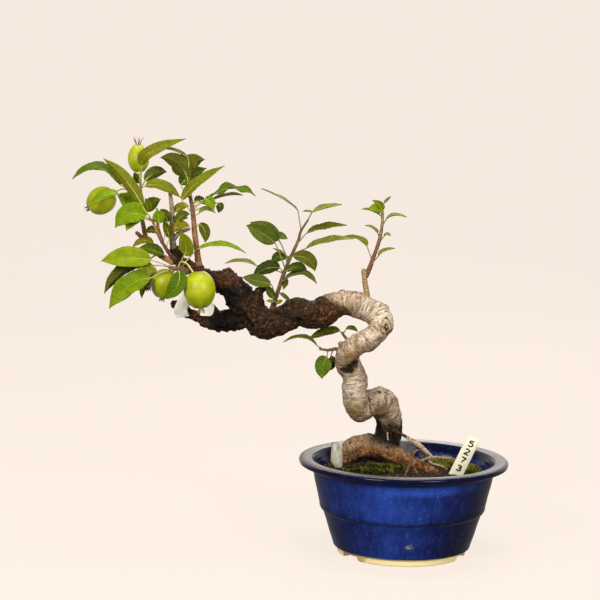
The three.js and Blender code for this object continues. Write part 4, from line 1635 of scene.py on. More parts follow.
@dataclass
class Moss:
    """The moss cushions on the soil, each grown over with tufts."""

    ground: Ground
    sides: int = 72
    levels: int = 14
    cushions: tuple[Cushion, ...] = (
        Cushion("moss_front", (94, -24), (36, 17), 4, -0.05),
        Cushion("moss_middle", (179, 28), (17, 34), 6, 0.14),
        Cushion("moss_right", (209, 8), (10, 22), 4, 0.05),
    )

    def pad(self, cushion: Cushion) -> Skin:
        """Makes the body of a cushion, sunk a little into the soil.

        Args:
            cushion: Where it lies and its size.

        Returns:
            Its skin.
        """
        angles = -circle(self.sides)
        x, y = cushion.centre
        ragged = 1 + 0.09 * np.sin(3 * angles + x) + 0.06 * np.sin(5 * angles + y)

        def ring(share: float, lift: Array | float) -> Array:
            """The points of one ring, at a share of its width and a height on the soil.

            Args:
                share: The share, from 0 to 1.
                lift: The height, in mm.

            Returns:
                The points.
            """
            px = x + np.cos(angles) * cushion.radii[0] * share * ragged
            py = y + np.sin(angles) * cushion.radii[1] * share * ragged
            return np.stack([px, py, self.ground.height(px, py) + lift], 1)

        rings = []
        for share in np.sin(np.linspace(0.06, 1, self.levels) * np.pi / 2):
            lumps = 0.8 * np.sin(4 * angles + 7 * share)
            bulge = cushion.height * math.sqrt(max(0.0, 1 - share * share)) + lumps * share * 0.8
            rings.append(ring(share, bulge - 0.5 * share**6))
        rings += [ring(1.0, -1.4), ring(0.8, -3.0)]
        first = np.array([x, y, float(self.ground.height(np.array(x), np.array(y))) + cushion.height])
        skin = over_rings(np.array(rings), first, first - [0, 0, cushion.height + 3])
        skin.points[:, 2] += 0.7 * grit(skin.points, 5, 3, 1.0)
        # The low height value keeps the cushion's body near the dark root colour: painted shade under the
        # tufts.
        skin.values["height"] = np.full(len(skin.points), 0.15)
        skin.values["shade"] = np.full(len(skin.points), 0.3)
        return skin

    def tuft(self) -> Piece:
        """Makes one tuft of five thin leaves that spread from a point, about 1 mm tall.

        Returns:
            The tuft, as a pattern.
        """
        points, faces, heights = [], [], []
        for k in range(5):
            angle = k / 5 * 2 * math.pi + 0.3 * (k % 2)
            spread = 0.42 if k % 2 else 0.22
            tall = 0.8 if k % 2 else 1.1
            out = np.array([math.cos(angle), math.sin(angle), 0])
            side = np.array([-out[1], out[0], 0]) * 0.13
            start = len(points)
            stem = out * spread * 0.3 + [0, 0, tall * 0.35]
            points += [out * 0.05 - side - [0, 0, 0.3], out * 0.05 + side - [0, 0, 0.3]]
            points += [out * -0.08 - [0, 0, 0.3], stem + side * 0.8, stem - side * 0.8]
            points += [stem - out * 0.08 + [0, 0, 0.1], out * spread + [0, 0, tall]]
            heights += [0.1, 0.1, 0.1, 0.6, 0.6, 0.6, 1.0]
            quads = [(0, 1, 3, 4), (1, 2, 5, 3), (2, 0, 4, 5), (4, 3, 6), (3, 5, 6), (5, 4, 6), (0, 2, 1)]
            faces += [tuple(start + i for i in face) for face in quads]
        skin = Skin(np.array(points), faces).outward()
        skin.values["height"] = np.array(heights)
        return mesh_piece("tuft", skin, [])

    def build(self) -> None:
        """Makes the cushions."""
        tuft = self.tuft()
        for seed, cushion in enumerate(self.cushions):
            finish = MossFinish(cushion.node, cushion.light).material()
            piece = mesh_piece(f"{cushion.node}_cushion", self.pad(cushion), [finish])
            Cover(Growth.TUFTS, tuft, finish, 1.3, 2.9, 0.35, 20 + seed).strew(piece)
            seat(piece, cushion.node)
        away(tuft)


# Trunk


class Stain(Enum):
    """The stains of the trunk's bark, each with its patches: a spot in the front view and the
    patch's reach in mm. The soot-and-shade patches are partly painted shade and the pale ones
    partly a painted highlight."""

    RUST = (
        (334, 313, -8, 15), (318, 322, -12, 8), (228, 276, -8, 15), (288, 327, -8, 7),
        (196, 270, -4, 9), (345, 318, -8, 14), (193, 314, -2, 11), (172, 303, 0, 12),
    )
    TAN = (
        (380, 404, 14, 14), (394, 414, 24, 8), (352, 370, -20, 8), (389, 336, -20, 6),
        (378, 343, -22, 8), (356, 416, -6, 10), (362, 350, -26, 11), (347, 308, -6, 8),
        (350, 358, -26, 8), (338, 346, -16, 8), (344, 366, -14, 7), (344, 377, -12, 7),
    )
    # Partly real pale bark and partly a painted highlight.
    PALE = (
        (384, 314, -14, 14), (371, 341, -28, 12), (392, 412, 24, 9), (352, 385, -18, 17),
        (350, 398, -14, 12), (384, 398, 12, 9), (366, 306, -8, 9),
    )
    ALGAE = (
        (340, 344, -14, 7), (352, 405, -12, 11), (349, 357, -26, 6), (384, 408, 10, 7),
    )
    # Partly real dark bark and partly painted shade: at the trunk's foot by the soil, under the root arch,
    # along the crease and on the branch's shaded lumps.
    SOOT = (
        (389, 442, 31, 26), (377, 430, 34, 13), (405, 431, 44, 14), (406, 419, 40, 10),
        (372, 468, 18, 12), (388, 474, 8, 13), (356, 468, 20, 9), (345, 370.5, -20, 5.5),
        (350, 368.5, -22, 6.5), (355, 364.5, -24, 6.5), (401, 446, 44, 16), (231, 297, -10, 15),
        (224, 322, -8, 19), (245, 291, -6, 10),
    )


@dataclass(frozen=True)
class Cleft:
    """A cut or crease in the wood from one spot to another, with its width and depth in mm."""

    start: Place
    end: Place
    width: float
    depth: float


@dataclass(frozen=True)
class ThinRoot:
    """A thin root in the air: its stops, how reddish it is and how long its dark start is, in mm."""

    stops: tuple[Stop, ...]
    ruddy: float
    dark_length: float


@dataclass
class Trunk:
    """The twisted trunk, its long low branch, its stubs and its surface roots, grown as one."""

    voxel: float = 1.12
    limbs: tuple[tuple[Stop, ...], ...] = (
        ((384, 476, 50, 14), (385, 456, 48, 14.5), (387, 440, 46, 15), (389, 426, 44, 15.5),
         (387, 412, 38, 15.5), (381, 402, 28, 16), (371, 402, 17, 16), (361, 408, 6, 15),
         (356, 403, 0, 14), (355, 390, -2, 14), (354, 376, -5, 14), (349, 364, -9, 14),
         (348, 354, -13, 13), (356, 347, -16, 12.5), (368, 339.5, -16, 11.8), (377, 331.5, -13, 12.6),
         (381, 322, -6, 14), (374, 312, 2, 14), (361, 306, 7, 14), (348, 303, 8, 14),
         (335, 306, 8, 15), (322, 312, 7, 17), (310, 314, 6, 16.5), (298, 312, 5, 15.5),
         (286, 318, 4, 16), (275, 322, 3, 17), (264, 323, 2, 17), (254, 316, 1, 17.5),
         (246, 305, 0, 17), (238, 294, 0, 16), (228, 284, 0, 15), (214, 280, 2, 11),
         (203, 275, 4, 9), (191, 268, 4, 7.5), (181, 262, 2, 7), (176, 252, 1, 7)),
        ((341, 462, 30, 13), (350, 453, 33, 14), (362, 447, 34, 14.5), (375, 448, 28, 14.5),
         (388, 454, 17, 13.5), (400, 460, 4, 12), (412, 465, -8, 10), (424, 469, -18, 8),
         (436, 474, -26, 5)),
        ((252, 312, 2, 15), (240, 316, 6, 14.5), (228, 320, 8, 13.5), (214, 322, 8, 11),
         (202, 319, 6, 8), (190, 313, 4, 6.5), (174, 304, 4, 4.5)),
        ((380, 400, 26, 10), (380, 393, 20, 8.5)),
        ((347, 353, -12, 8.5), (341, 344.5, -12, 3.5)),
        ((384, 328, -12, 7), (387, 327, -19, 5)),
        ((256, 306, 0, 9), (258, 293, -3, 6), (265, 287, -4, 4)),
        ((230, 284, 0, 7), (229, 271, 0, 3.5)),
        ((342, 302, 8, 10), (342, 295, 6, 6)),
        ((383, 316, -2, 8), (385, 309, 0, 5)),
        ((215, 320, 6, 9), (214, 313, 5, 6.5), (212, 308, 5, 3.5)),
    )
    thin_roots: tuple[ThinRoot, ...] = (
        ThinRoot((
            (392, 430, 30, 1.6), (401, 434, 20, 1.7), (408, 438, 14, 2.0), (413, 441, 10, 2.4),
            (421, 447, 3, 2.5), (428, 453, -3, 2.2), (433, 457.5, -7, 1.4),
        ), 0.2, 30),
        ThinRoot((
            (428, 460, -12, 1.3), (425, 455, -15, 1.2), (421, 452, -20, 1.3), (417, 450.5, -26, 1.3),
            (414, 452.5, -30, 1.3), (410, 463, -39, 1.3), (405, 475.5, -47, 1.3),
        ), 0.9, 4),
        ThinRoot((
            (420, 462, -12, 2), (426, 458.5, -16, 1.5), (433, 457.4, -18, 1.3), (443, 457.6, -16, 1.2),
            (451, 458.4, -14, 1.1), (458, 460, -12, 1),
        ), 0.5, 2),
        ThinRoot(((411, 460.5, -37, 1.1), (414, 467, -41, 1.1), (418.5, 475.5, -45, 1.1)), 0.9, 2),
        ThinRoot(((387.5, 429, 30, 0.8), (387.5, 435, 27, 0.8), (388, 440, 26, 0.6)), 0.1, 0.5),
        ThinRoot((
            (427, 460, -14, 1.2), (434, 464, -16, 1.1), (441, 465.5, -16, 1), (447, 469, -15, 0.9),
        ), 0.4, 2),
    )
    clefts: tuple[Cleft, ...] = (
        Cleft((344, 370, -14), (350, 368, -20), 2.2, 2.4),
        Cleft((350, 368, -20), (359, 361, -24), 1.4, 2.0),
        Cleft((368, 389, 0), (370, 402, -4), 0.8, 1.5), Cleft((370, 402, -4), (372, 416, -2), 0.8, 1.3),
        Cleft((374, 393, 2), (375, 413, 0), 0.8, 0.7), Cleft((377, 391, 12), (387, 393, 14), 0.9, 1.1),
        Cleft((300, 322, -10), (276, 312, -12), 1.6, 1.6),
        Cleft((252, 326, -12), (238, 308, -14), 1.7, 1.6),
    )
    eye_spot: Place = (386.5, 327, -24)
    eye_reach: float = 9.5
    eye_ring: float = 5.2
    branch_axis: Place = (335, 308, 8)
    crusted_x: tuple[float, float] = (268, 250)
    pale_until: tuple[float, float] = (18.1, 20.2)
    dark_limbs: tuple[int, ...] = (2, 6, 7, 10)
    slant: float = 1.25
    root_limb: int = 1
    step: float = 3.0
    batch: int = 20000
    grain_shift: float = 37.0

    def body(self) -> Piece:
        """Makes the limbs' shared skin, as one evenly meshed surface.

        Returns:
            The piece.
        """
        tubes = [Run.of_stops(stops, 2.5).tube(40, swell=0.05) for stops in self.limbs]
        rough = mesh_piece("trunk_and_root", joined(tubes), [])
        rough.data.attributes.remove(rough.data.attributes["grain"])
        remesh = rough.modifiers.new("even", "REMESH")
        remesh.mode = "VOXEL"
        remesh.voxel_size = self.voxel * MM
        remesh.use_smooth_shade = True
        return settled(rough)

    def nearest(self, points: Array) -> tuple[Array, Array]:
        """Finds where each point is on the limbs.

        Args:
            points: Points on the skin, in mm.

        Returns:
            The grain at each point, which is the distance along the nearest limb and the place
            across it, and that limb's number.
        """
        best = np.full(len(points), np.inf)
        limb = np.zeros(len(points), int)
        grain = np.zeros((len(points), 3))
        for number, stops in enumerate(self.limbs):
            run = Run.of_stops(stops, self.step)
            for low in range(0, len(points), self.batch):
                part = slice(low, low + self.batch)
                offset = points[part, None] - run.points[None]
                gap = lengths(offset) - run.radii
                index = gap.argmin(1)
                rows = np.arange(len(index))
                own = offset[rows, index]
                along = run.along[index] + np.einsum("ij,ij->i", own, run.tangents[index])
                over = np.einsum("ij,ij->i", own, run.normals[index])
                aside = np.einsum("ij,ij->i", own, run.sides[index])
                across = np.stack([along + self.grain_shift * number, over, aside], 1)
                nearer = gap[rows, index] < best[part] - 0.5
                grain[part] = np.where(nearer[:, None], across, grain[part])
                limb[part] = np.where(nearer, number, limb[part])
                best[part] = np.where(nearer, gap[rows, index], best[part])
        return grain, limb

    def darkness(self, points: Array, grain: Array, limb: Array) -> Array:
        """Works out how dark the bark is: from 0 on the trunk to 1 along the branch.

        Args:
            points: Points on the skin, in mm.
            grain: The grain at each.
            limb: The number of each point's limb.

        Returns:
            The darkness at each.
        """
        run = Run.of_stops(self.limbs[0], self.step)
        shares = np.array(self.pale_until) / (len(self.limbs[0]) - 1)
        start, full = np.interp(shares, np.linspace(0, 1, len(run.along)), run.along)
        height = np.clip(points[:, 2] - FRONT.place(self.branch_axis)[2], -16, 16)
        ragged = 7 * grit(points, 16, 3, 5.0)
        own = ease(grain[:, 0] - self.slant * height + ragged, start, full)
        return np.where(limb == 0, own, np.isin(limb, self.dark_limbs).astype(float))

    def stains(self, points: Array, normals: Array, grain: Array,
               limb: Array) -> dict[str, Array]:
        """Works out how strong each stain is at each point.

        Args:
            points: Points on the skin, in mm.
            normals: The way that each faces.
            grain: The grain at each.
            limb: The number of each point's limb.

        Returns:
            The strengths by stain.
        """
        values = {}
        for stain in Stain:
            gaps = [(lengths(points - FRONT.place(patch)), patch[3]) for patch in stain.value]
            strengths = [ease(gap, reach * 1.7, reach * 0.25) for gap, reach in gaps]
            values[stain.name.lower()] = np.max(strengths, axis=0)
        values["dark"] = self.darkness(points, grain, limb)
        # Painted shade: faces that look down take more tan and algae colour.
        under = ease(-normals[:, 2], -0.1, 0.95)
        pale = 1 - values["dark"]
        values["tan"] = np.clip(values["tan"] + 0.75 * under * pale, 0, 1)
        values["algae"] = np.clip(values["algae"] + 0.3 * under * pale, 0, 1)
        low = self.root_height(points)
        rooted = limb == self.root_limb
        far = ease(points[:, 0], 100, 135)
        values["root"] = np.where(rooted, np.maximum(0.45, ease(low, 1.0, 0.4) + 0.35 * far), 0)
        values["far"] = np.where(rooted, far, 0)
        # Painted shade on the root arch's underside, down to its foot by the soil.
        underside_shade = ease(low - 0.18 * (far > 0), 0.42, 0.1)
        values["soot"] = np.where(rooted, np.maximum(0.8 * underside_shade, values["soot"]), values["soot"])
        return values

    def root_height(self, points: Array) -> Array:
        """How high each point is in the root arch, from 0 at its foot to 1 on its back.

        Args:
            points: Points on the skin, in mm.

        Returns:
            The share at each.
        """
        run = Run.of_stops(self.limbs[self.root_limb], self.step)
        order = np.argsort(run.points[:, 0])
        middle = np.interp(points[:, 0], run.points[order, 0], run.points[order, 2])
        reach = np.interp(points[:, 0], run.points[order, 0], run.radii[order])
        return (points[:, 2] - middle + reach) / (2 * reach)

    def cleft_depth(self, points: Array) -> Array:
        """Works out how deep the clefts go at each point, in mm.

        Args:
            points: Points on the skin, in mm.

        Returns:
            The depth at each.
        """
        depth = np.zeros(len(points))
        ragged = grit(points, 5, 3, 8.0)
        for cleft in self.clefts:
            start, end = FRONT.place(cleft.start), FRONT.place(cleft.end)
            way = end - start
            share = np.clip((points - start) @ way / way.dot(way), 0, 1)
            offset = (points - start - share[:, None] * way) * [1.0, 0.25, 1.0]
            gap = lengths(offset) + 0.8 * cleft.width * ragged
            near = np.exp(-((np.maximum(gap - cleft.width, 0) / cleft.width) ** 2))
            reach = near * (gap < cleft.width * 4)
            depth = np.maximum(depth, reach * cleft.depth)
        return depth

    def eye_rings(self, points: Array) -> tuple[Array, Array]:
        """Works out where the old knot is, from 0 to 1, and its rings, from -1 to 1.

        Args:
            points: Points on the skin, in mm.

        Returns:
            The two values at each.
        """
        offset = (points - FRONT.place(self.eye_spot)) * [1.35, 0.25, 0.8]
        gap = lengths(offset)
        inside = ease(gap, self.eye_reach * 1.25, self.eye_reach * 0.75)
        return inside, np.cos((gap + 0.6 * grit(points, 4, 2, 3.0)) * 2 * np.pi / self.eye_ring)

    def relief(self, points: Array, grain: Array, dark: Array) -> Array:
        """Works out how far the bark stands out.

        Args:
            points: Points on the skin, in mm.
            grain: The grain at each.
            dark: How dark the bark is at each.

        Returns:
            The height at each, in mm.
        """
        ringed = grain * [1.0, 0.3, 0.3]
        rings = 1 - 2.2 * np.abs(grit(ringed, 4.2, 3, 1.0))
        folds = grit(points, 15, 3, 2.0)
        lumps = np.abs(grit(points, 8.5, 4, 6.0))
        crumb = grit(points, 3.2, 3, 9.0)
        pale = 0.25 * rings + 1.6 * folds + 0.3 * crumb
        knobbed = 1.4 * folds + 1.2 * lumps + 0.5 * crumb + 0.4 * self.knobs(points) - 0.4
        crusted = 2.2 * folds + 2.4 * lumps + 0.6 * crumb + 1.4 * self.knobs(points) - 0.9
        start, full = (FRONT.place((column, *self.branch_axis[1:]))[0] for column in self.crusted_x)
        crust = ease(points[:, 0], start, full)
        return pale * (1 - dark) + (knobbed * (1 - crust) + crusted * crust) * dark

    @staticmethod
    def knobs(points: Array) -> Array:
        """Makes round knobs side by side, from about -1 between them to 1 on their tops.

        Args:
            points: Points on the skin, in mm.

        Returns:
            The value at each.
        """
        size = 5.5
        near = [noise.voronoi(Vector(p))[0][0] for p in (points / size).tolist()]
        return 1 - 2.4 * np.array(near)

    def bark(self, piece: Piece) -> Skin:
        """Gives the limbs' even skin its relief and its values.

        Args:
            piece: The even skin.

        Returns:
            The finished skin.
        """
        mesh = piece.data
        flat = np.empty(len(mesh.vertices) * 3, np.float32)
        mesh.vertices.foreach_get("co", flat)
        points = flat.reshape(-1, 3).astype(float) / MM
        mesh.vertices.foreach_get("normal", flat)
        normals = flat.reshape(-1, 3).astype(float)
        grain, limb = self.nearest(points)
        values = self.stains(points, normals, grain, limb)
        sunk = self.cleft_depth(points)
        inside, rings = self.eye_rings(points)
        rough = np.maximum(values["dark"], 0.45 * (limb == self.root_limb))
        height = self.relief(points, grain, rough) - sunk + inside * (0.4 * rings - 0.6)
        above = ease(points[:, 2] - FRONT.place(self.eye_spot)[2], 3.0, 6.0)
        eye_soot = inside * np.maximum(0.3 * above, 0.75 * ease(-rings, 0.3, 0.8))
        # Painted shade: the clefts darken with their depth.
        soot = np.maximum(values["soot"], np.clip(sunk / 2, 0, 0.85))
        values["soot"] = np.maximum(soot * (1 - inside), eye_soot)
        values["tan"] = np.maximum(values["tan"], 0.7 * inside)
        faces = [tuple(face.vertices) for face in mesh.polygons]
        return Skin(points + normals * height[:, None], faces, {**values, "grain": grain})

    def thin_root(self, root: ThinRoot) -> Skin:
        """Makes one thin root, dark where it leaves the wood.

        Args:
            root: Its stops and colours.

        Returns:
            Its skin.
        """
        tube = Run.of_stops(root.stops, 1.0).tube(12, swell=0.08, lumps=0.15)
        start = ease(tube.values["grain"][:, 0], root.dark_length, root.dark_length * 0.6)
        tube.values["tan"] = np.full(len(tube.points), root.ruddy)
        tube.values["rust"] = np.ones(len(tube.points))
        tube.values["dark"] = np.maximum(0.9 * start, 0.7 * root.ruddy)
        return tube

    def build(self) -> None:
        """Makes the trunk."""
        piece = self.body()
        skin = joined([self.bark(piece), *[self.thin_root(root) for root in self.thin_roots]])
        away(piece)
        seat(mesh_piece("trunk_and_root", skin, [BarkFinish().material()]), "trunk")


# Shoots


class Paint(Enum):
    """Named colours."""

    @property
    def colour(self) -> Array:
        """Its linear colour."""
        return np.array(tint(self.value))


class Tone(Paint):
    """The colours of the leaves, from the youngest to the oldest."""

    LIME = "7c8d00"
    BRIGHT = "708a00"
    GREEN = "466000"
    SAGE = "4c5818"
    KHAKI = "6f7008"
    OLIVE = "4c4d04"
    DARK = "324202"
    DEEP = "1e2a02"
    GOLD = "776a08"
    BROWN = "3f3502"
    PALE = "7c7e34"
    GREY = "6f6c36"


class Wood(Paint):
    """The colours of young wood and stalks."""

    RED_BROWN = "5c3822"
    GREY_BROWN = "968468"
    ORANGE_BROWN = "a4703a"
    AMBER = "c08c50"
    TAN = "a08858"
    CHESTNUT = "7c4c36"
    OLIVE_BROWN = "664c1e"
    PALE = "b8bc5e"
    STRAW = "d0c86c"
    SEDGE = "8e8e50"


@dataclass(frozen=True)
class Leaf:
    """One leaf: its stalk leaves the wood at start, and its blade runs from base over mid to tip.

    `wide` is in mm, `turn` says where its upper face looks (0 up, 90 to the front), `fold` raises
    its margins in degrees and `wave` ripples them.
    """

    start: Place
    base: Place
    mid: Place
    tip: Place
    wide: float
    turn: float
    tone: Tone
    wave: float = 0.07
    fold: float = 18.0
    stalk_radius: float = 0.8

    cuts = 60
    columns = 4
    thickness = 0.5

    def curve(self, shares: Array) -> tuple[Array, Array]:
        """Follows the midrib: a bent line through base, mid and tip.

        Args:
            shares: How far along, from 0 to 1.

        Returns:
            Its points in mm and its directions.
        """
        start, through, end = FRONT.places((self.base, self.mid, self.tip))
        pull = 2 * through - 0.5 * (start + end)
        t = shares[:, None]
        points = (1 - t) ** 2 * start + 2 * t * (1 - t) * pull + t**2 * end
        slopes = 2 * (1 - t) * (pull - start) + 2 * t * (end - pull)
        return points, unit(slopes)

    @staticmethod
    def outline(shares: Array) -> Array:
        """The blade's half width along it, as a share of the widest."""
        tip = 1 - 0.45 * np.exp(-(((1 - shares) / 0.12) ** 2))
        return 2.65 * shares**0.62 * (1 - shares) ** 0.8 * tip

    def facing(self, tangents: Array) -> Array:
        """The direction that the upper face looks in, at right angles to the midrib.

        Args:
            tangents: The midrib's directions.

        Returns:
            The direction at each.
        """
        turned = math.radians(self.turn)
        up = np.array([0, -math.sin(turned), math.cos(turned)])
        return unit(up - tangents * (tangents @ up)[:, None])

    def blade(self) -> Skin:
        """Makes the blade, with toothed and rippled margins and quilted veins.

        Returns:
            Its skin, closed round both faces.
        """
        shares = np.linspace(0.004, 0.994, self.cuts)
        centre, tangents = self.curve(shares)
        over = self.facing(tangents)
        side = np.cross(tangents, over)
        length = lengths(np.diff(centre, axis=0)).sum()
        along = shares * length
        half = self.wide / 2 * self.outline(shares)
        teeth = (along / 2.5) % 1
        tooth = np.minimum(0.36, half * 0.06) * (teeth - 0.5)
        waves = min(max(round(length / 8), 4), 6)
        steep = math.tan(math.radians(self.fold))
        across = np.linspace(-1, 1, 2 * self.columns + 1)
        rows = []
        off_rows = []
        for column in across:
            size = abs(column)
            late = 0.0 if column > 0 else 2.0
            ripple = self.wave * np.sin(2.4 * waves * shares + self.wide + late)
            ruffle = 0.025 * np.sin(9.5 * waves * shares + self.wide * 2 + late * 1.3)
            out = column * half + np.sign(column) * tooth * size**6
            vein = (along - size * half * VEIN_SLANT) / VEIN_PITCH
            quilt = -0.28 * np.cos(2 * np.pi * vein) * np.sin(np.pi * min(size, 0.97))
            quilt = quilt * np.minimum(half / 4, 1)
            lift = half * (steep * size**1.15 + ripple * size**2 + ruffle * size**4) + quilt
            groove = -0.18 if size == 0 else 0.0
            rows.append(centre + side * out[:, None] + over * (lift + groove)[:, None])
            off_rows.append(np.stack([along, out, np.full(len(out), size)], 1))
        upper = np.stack(rows, 1)
        lower = upper - over[:, None] * self.thickness
        lower[:, self.columns] -= over * 0.25
        rings = np.concatenate([upper, lower[:, ::-1]], 1)
        ends = [self.curve(np.array([share]))[0][0] for share in (0.0, 1.0)]
        skin = over_rings(rings, ends[0], ends[1])
        marks = np.stack(off_rows, 1)
        marks = np.concatenate([marks, marks[:, ::-1]], 1)
        under = np.zeros(marks.shape[:2])
        under[:, len(across):] = 1
        flat = np.stack([marks[..., 0], marks[..., 1], under], -1).reshape(-1, 3)
        skin.values["blade"] = np.vstack([[0, 0, 0], flat, [length, 0, 0]])
        skin.values["margin"] = np.concatenate([[0], marks[..., 2].ravel(), [1]])
        return skin.paint(self.tone.colour)

    def stalk(self, wood: Wood, rib_tone: Wood) -> Skin:
        """Makes the stalk, which runs on as the rib under the blade.

        Args:
            wood: Its colour where it leaves the wood.
            rib_tone: Its colour from there on.

        Returns:
            The stalk.
        """
        shares = np.array([0.0, 0.12, 0.4, 0.7, 0.95])
        rib, tangents = self.curve(shares)
        rib = rib - self.facing(tangents) * self.thickness * 0.9
        start = FRONT.place(self.start)
        middle = (start + rib[0]) / 2
        middle[2] += 0.06 * np.linalg.norm(middle - start)
        route = np.vstack([start, middle, rib])
        radii = [self.stalk_radius * share for share in (1, 0.85, 0.82, 0.69, 0.52, 0.37, 0.2)]
        skin = Run.through(route, radii, 1.6).tube(8)
        share = ease(skin.values["grain"][:, 0], 0.0, 6.0)[:, None]
        return skin.paint(wood.colour * (1 - share) + rib_tone.colour * share, 1)


@dataclass(frozen=True)
class Shoot:
    """A leafy stem: its wood from stops of column, row, depth and radius, and its leaves."""

    node: str
    foot: Wood
    top: Wood
    stems: tuple[tuple[Stop, ...], ...]
    leaves: tuple[Leaf, ...]
    rib: Wood = Wood.PALE
    age: float = 0.4
    stub: Wood | None = None

    short_stem = 45.0

    def wood(self) -> Skin:
        """Makes the stems with their nodes and buds.

        Returns:
            Their joined skin.
        """
        skins = []
        for stops in self.stems:
            run = Run.of_stops(stops, 1.0)
            skin = run.tube(14, swell=0.04, lumps=0.1)
            along = skin.values["grain"][:, 0] / run.along[-1]
            share = ease(along, 0.35, 1.0)[:, None]
            old = 1 - self.age * ease(along, 0.4, 0.0)[:, None]
            foot, top = self.foot, self.top
            if self.stub and run.along[-1] < self.short_stem:
                foot = top = self.stub
            skins.append(skin.paint((foot.colour * (1 - share) + top.colour * share) * old))
        return joined(skins + [self.bud(leaf) for leaf in self.leaves])

    def bud(self, leaf: Leaf) -> Skin:
        """Makes the small bud in the angle of a leaf's stalk.

        Args:
            leaf: The leaf.

        Returns:
            The bud's skin.
        """
        start, base = FRONT.places((leaf.start, leaf.base))
        way = unit(base - start)
        lean = unit(way + np.array([0, 0, 0.9]))
        route = np.array([start, start + lean * 1.4, start + lean * 2.7])
        return Run.through(route, [0.9, 1.15, 0.25], 0.4).tube(10).paint(self.foot.colour)

    def build(self, bark: Material, foliage: Sequence[Material]) -> None:
        """Makes the shoot as a piece of wood and a piece of leaves.

        Args:
            bark: The wood's material.
            foliage: The leaves' materials.
        """
        seat(mesh_piece(f"{self.node}_wood", self.wood(), [bark]), self.node)
        skins = []
        for leaf in self.leaves:
            skins += [leaf.blade(), leaf.stalk(self.top, self.rib)]
        seat(mesh_piece(f"{self.node}_leaves", joined(skins), foliage), self.node)


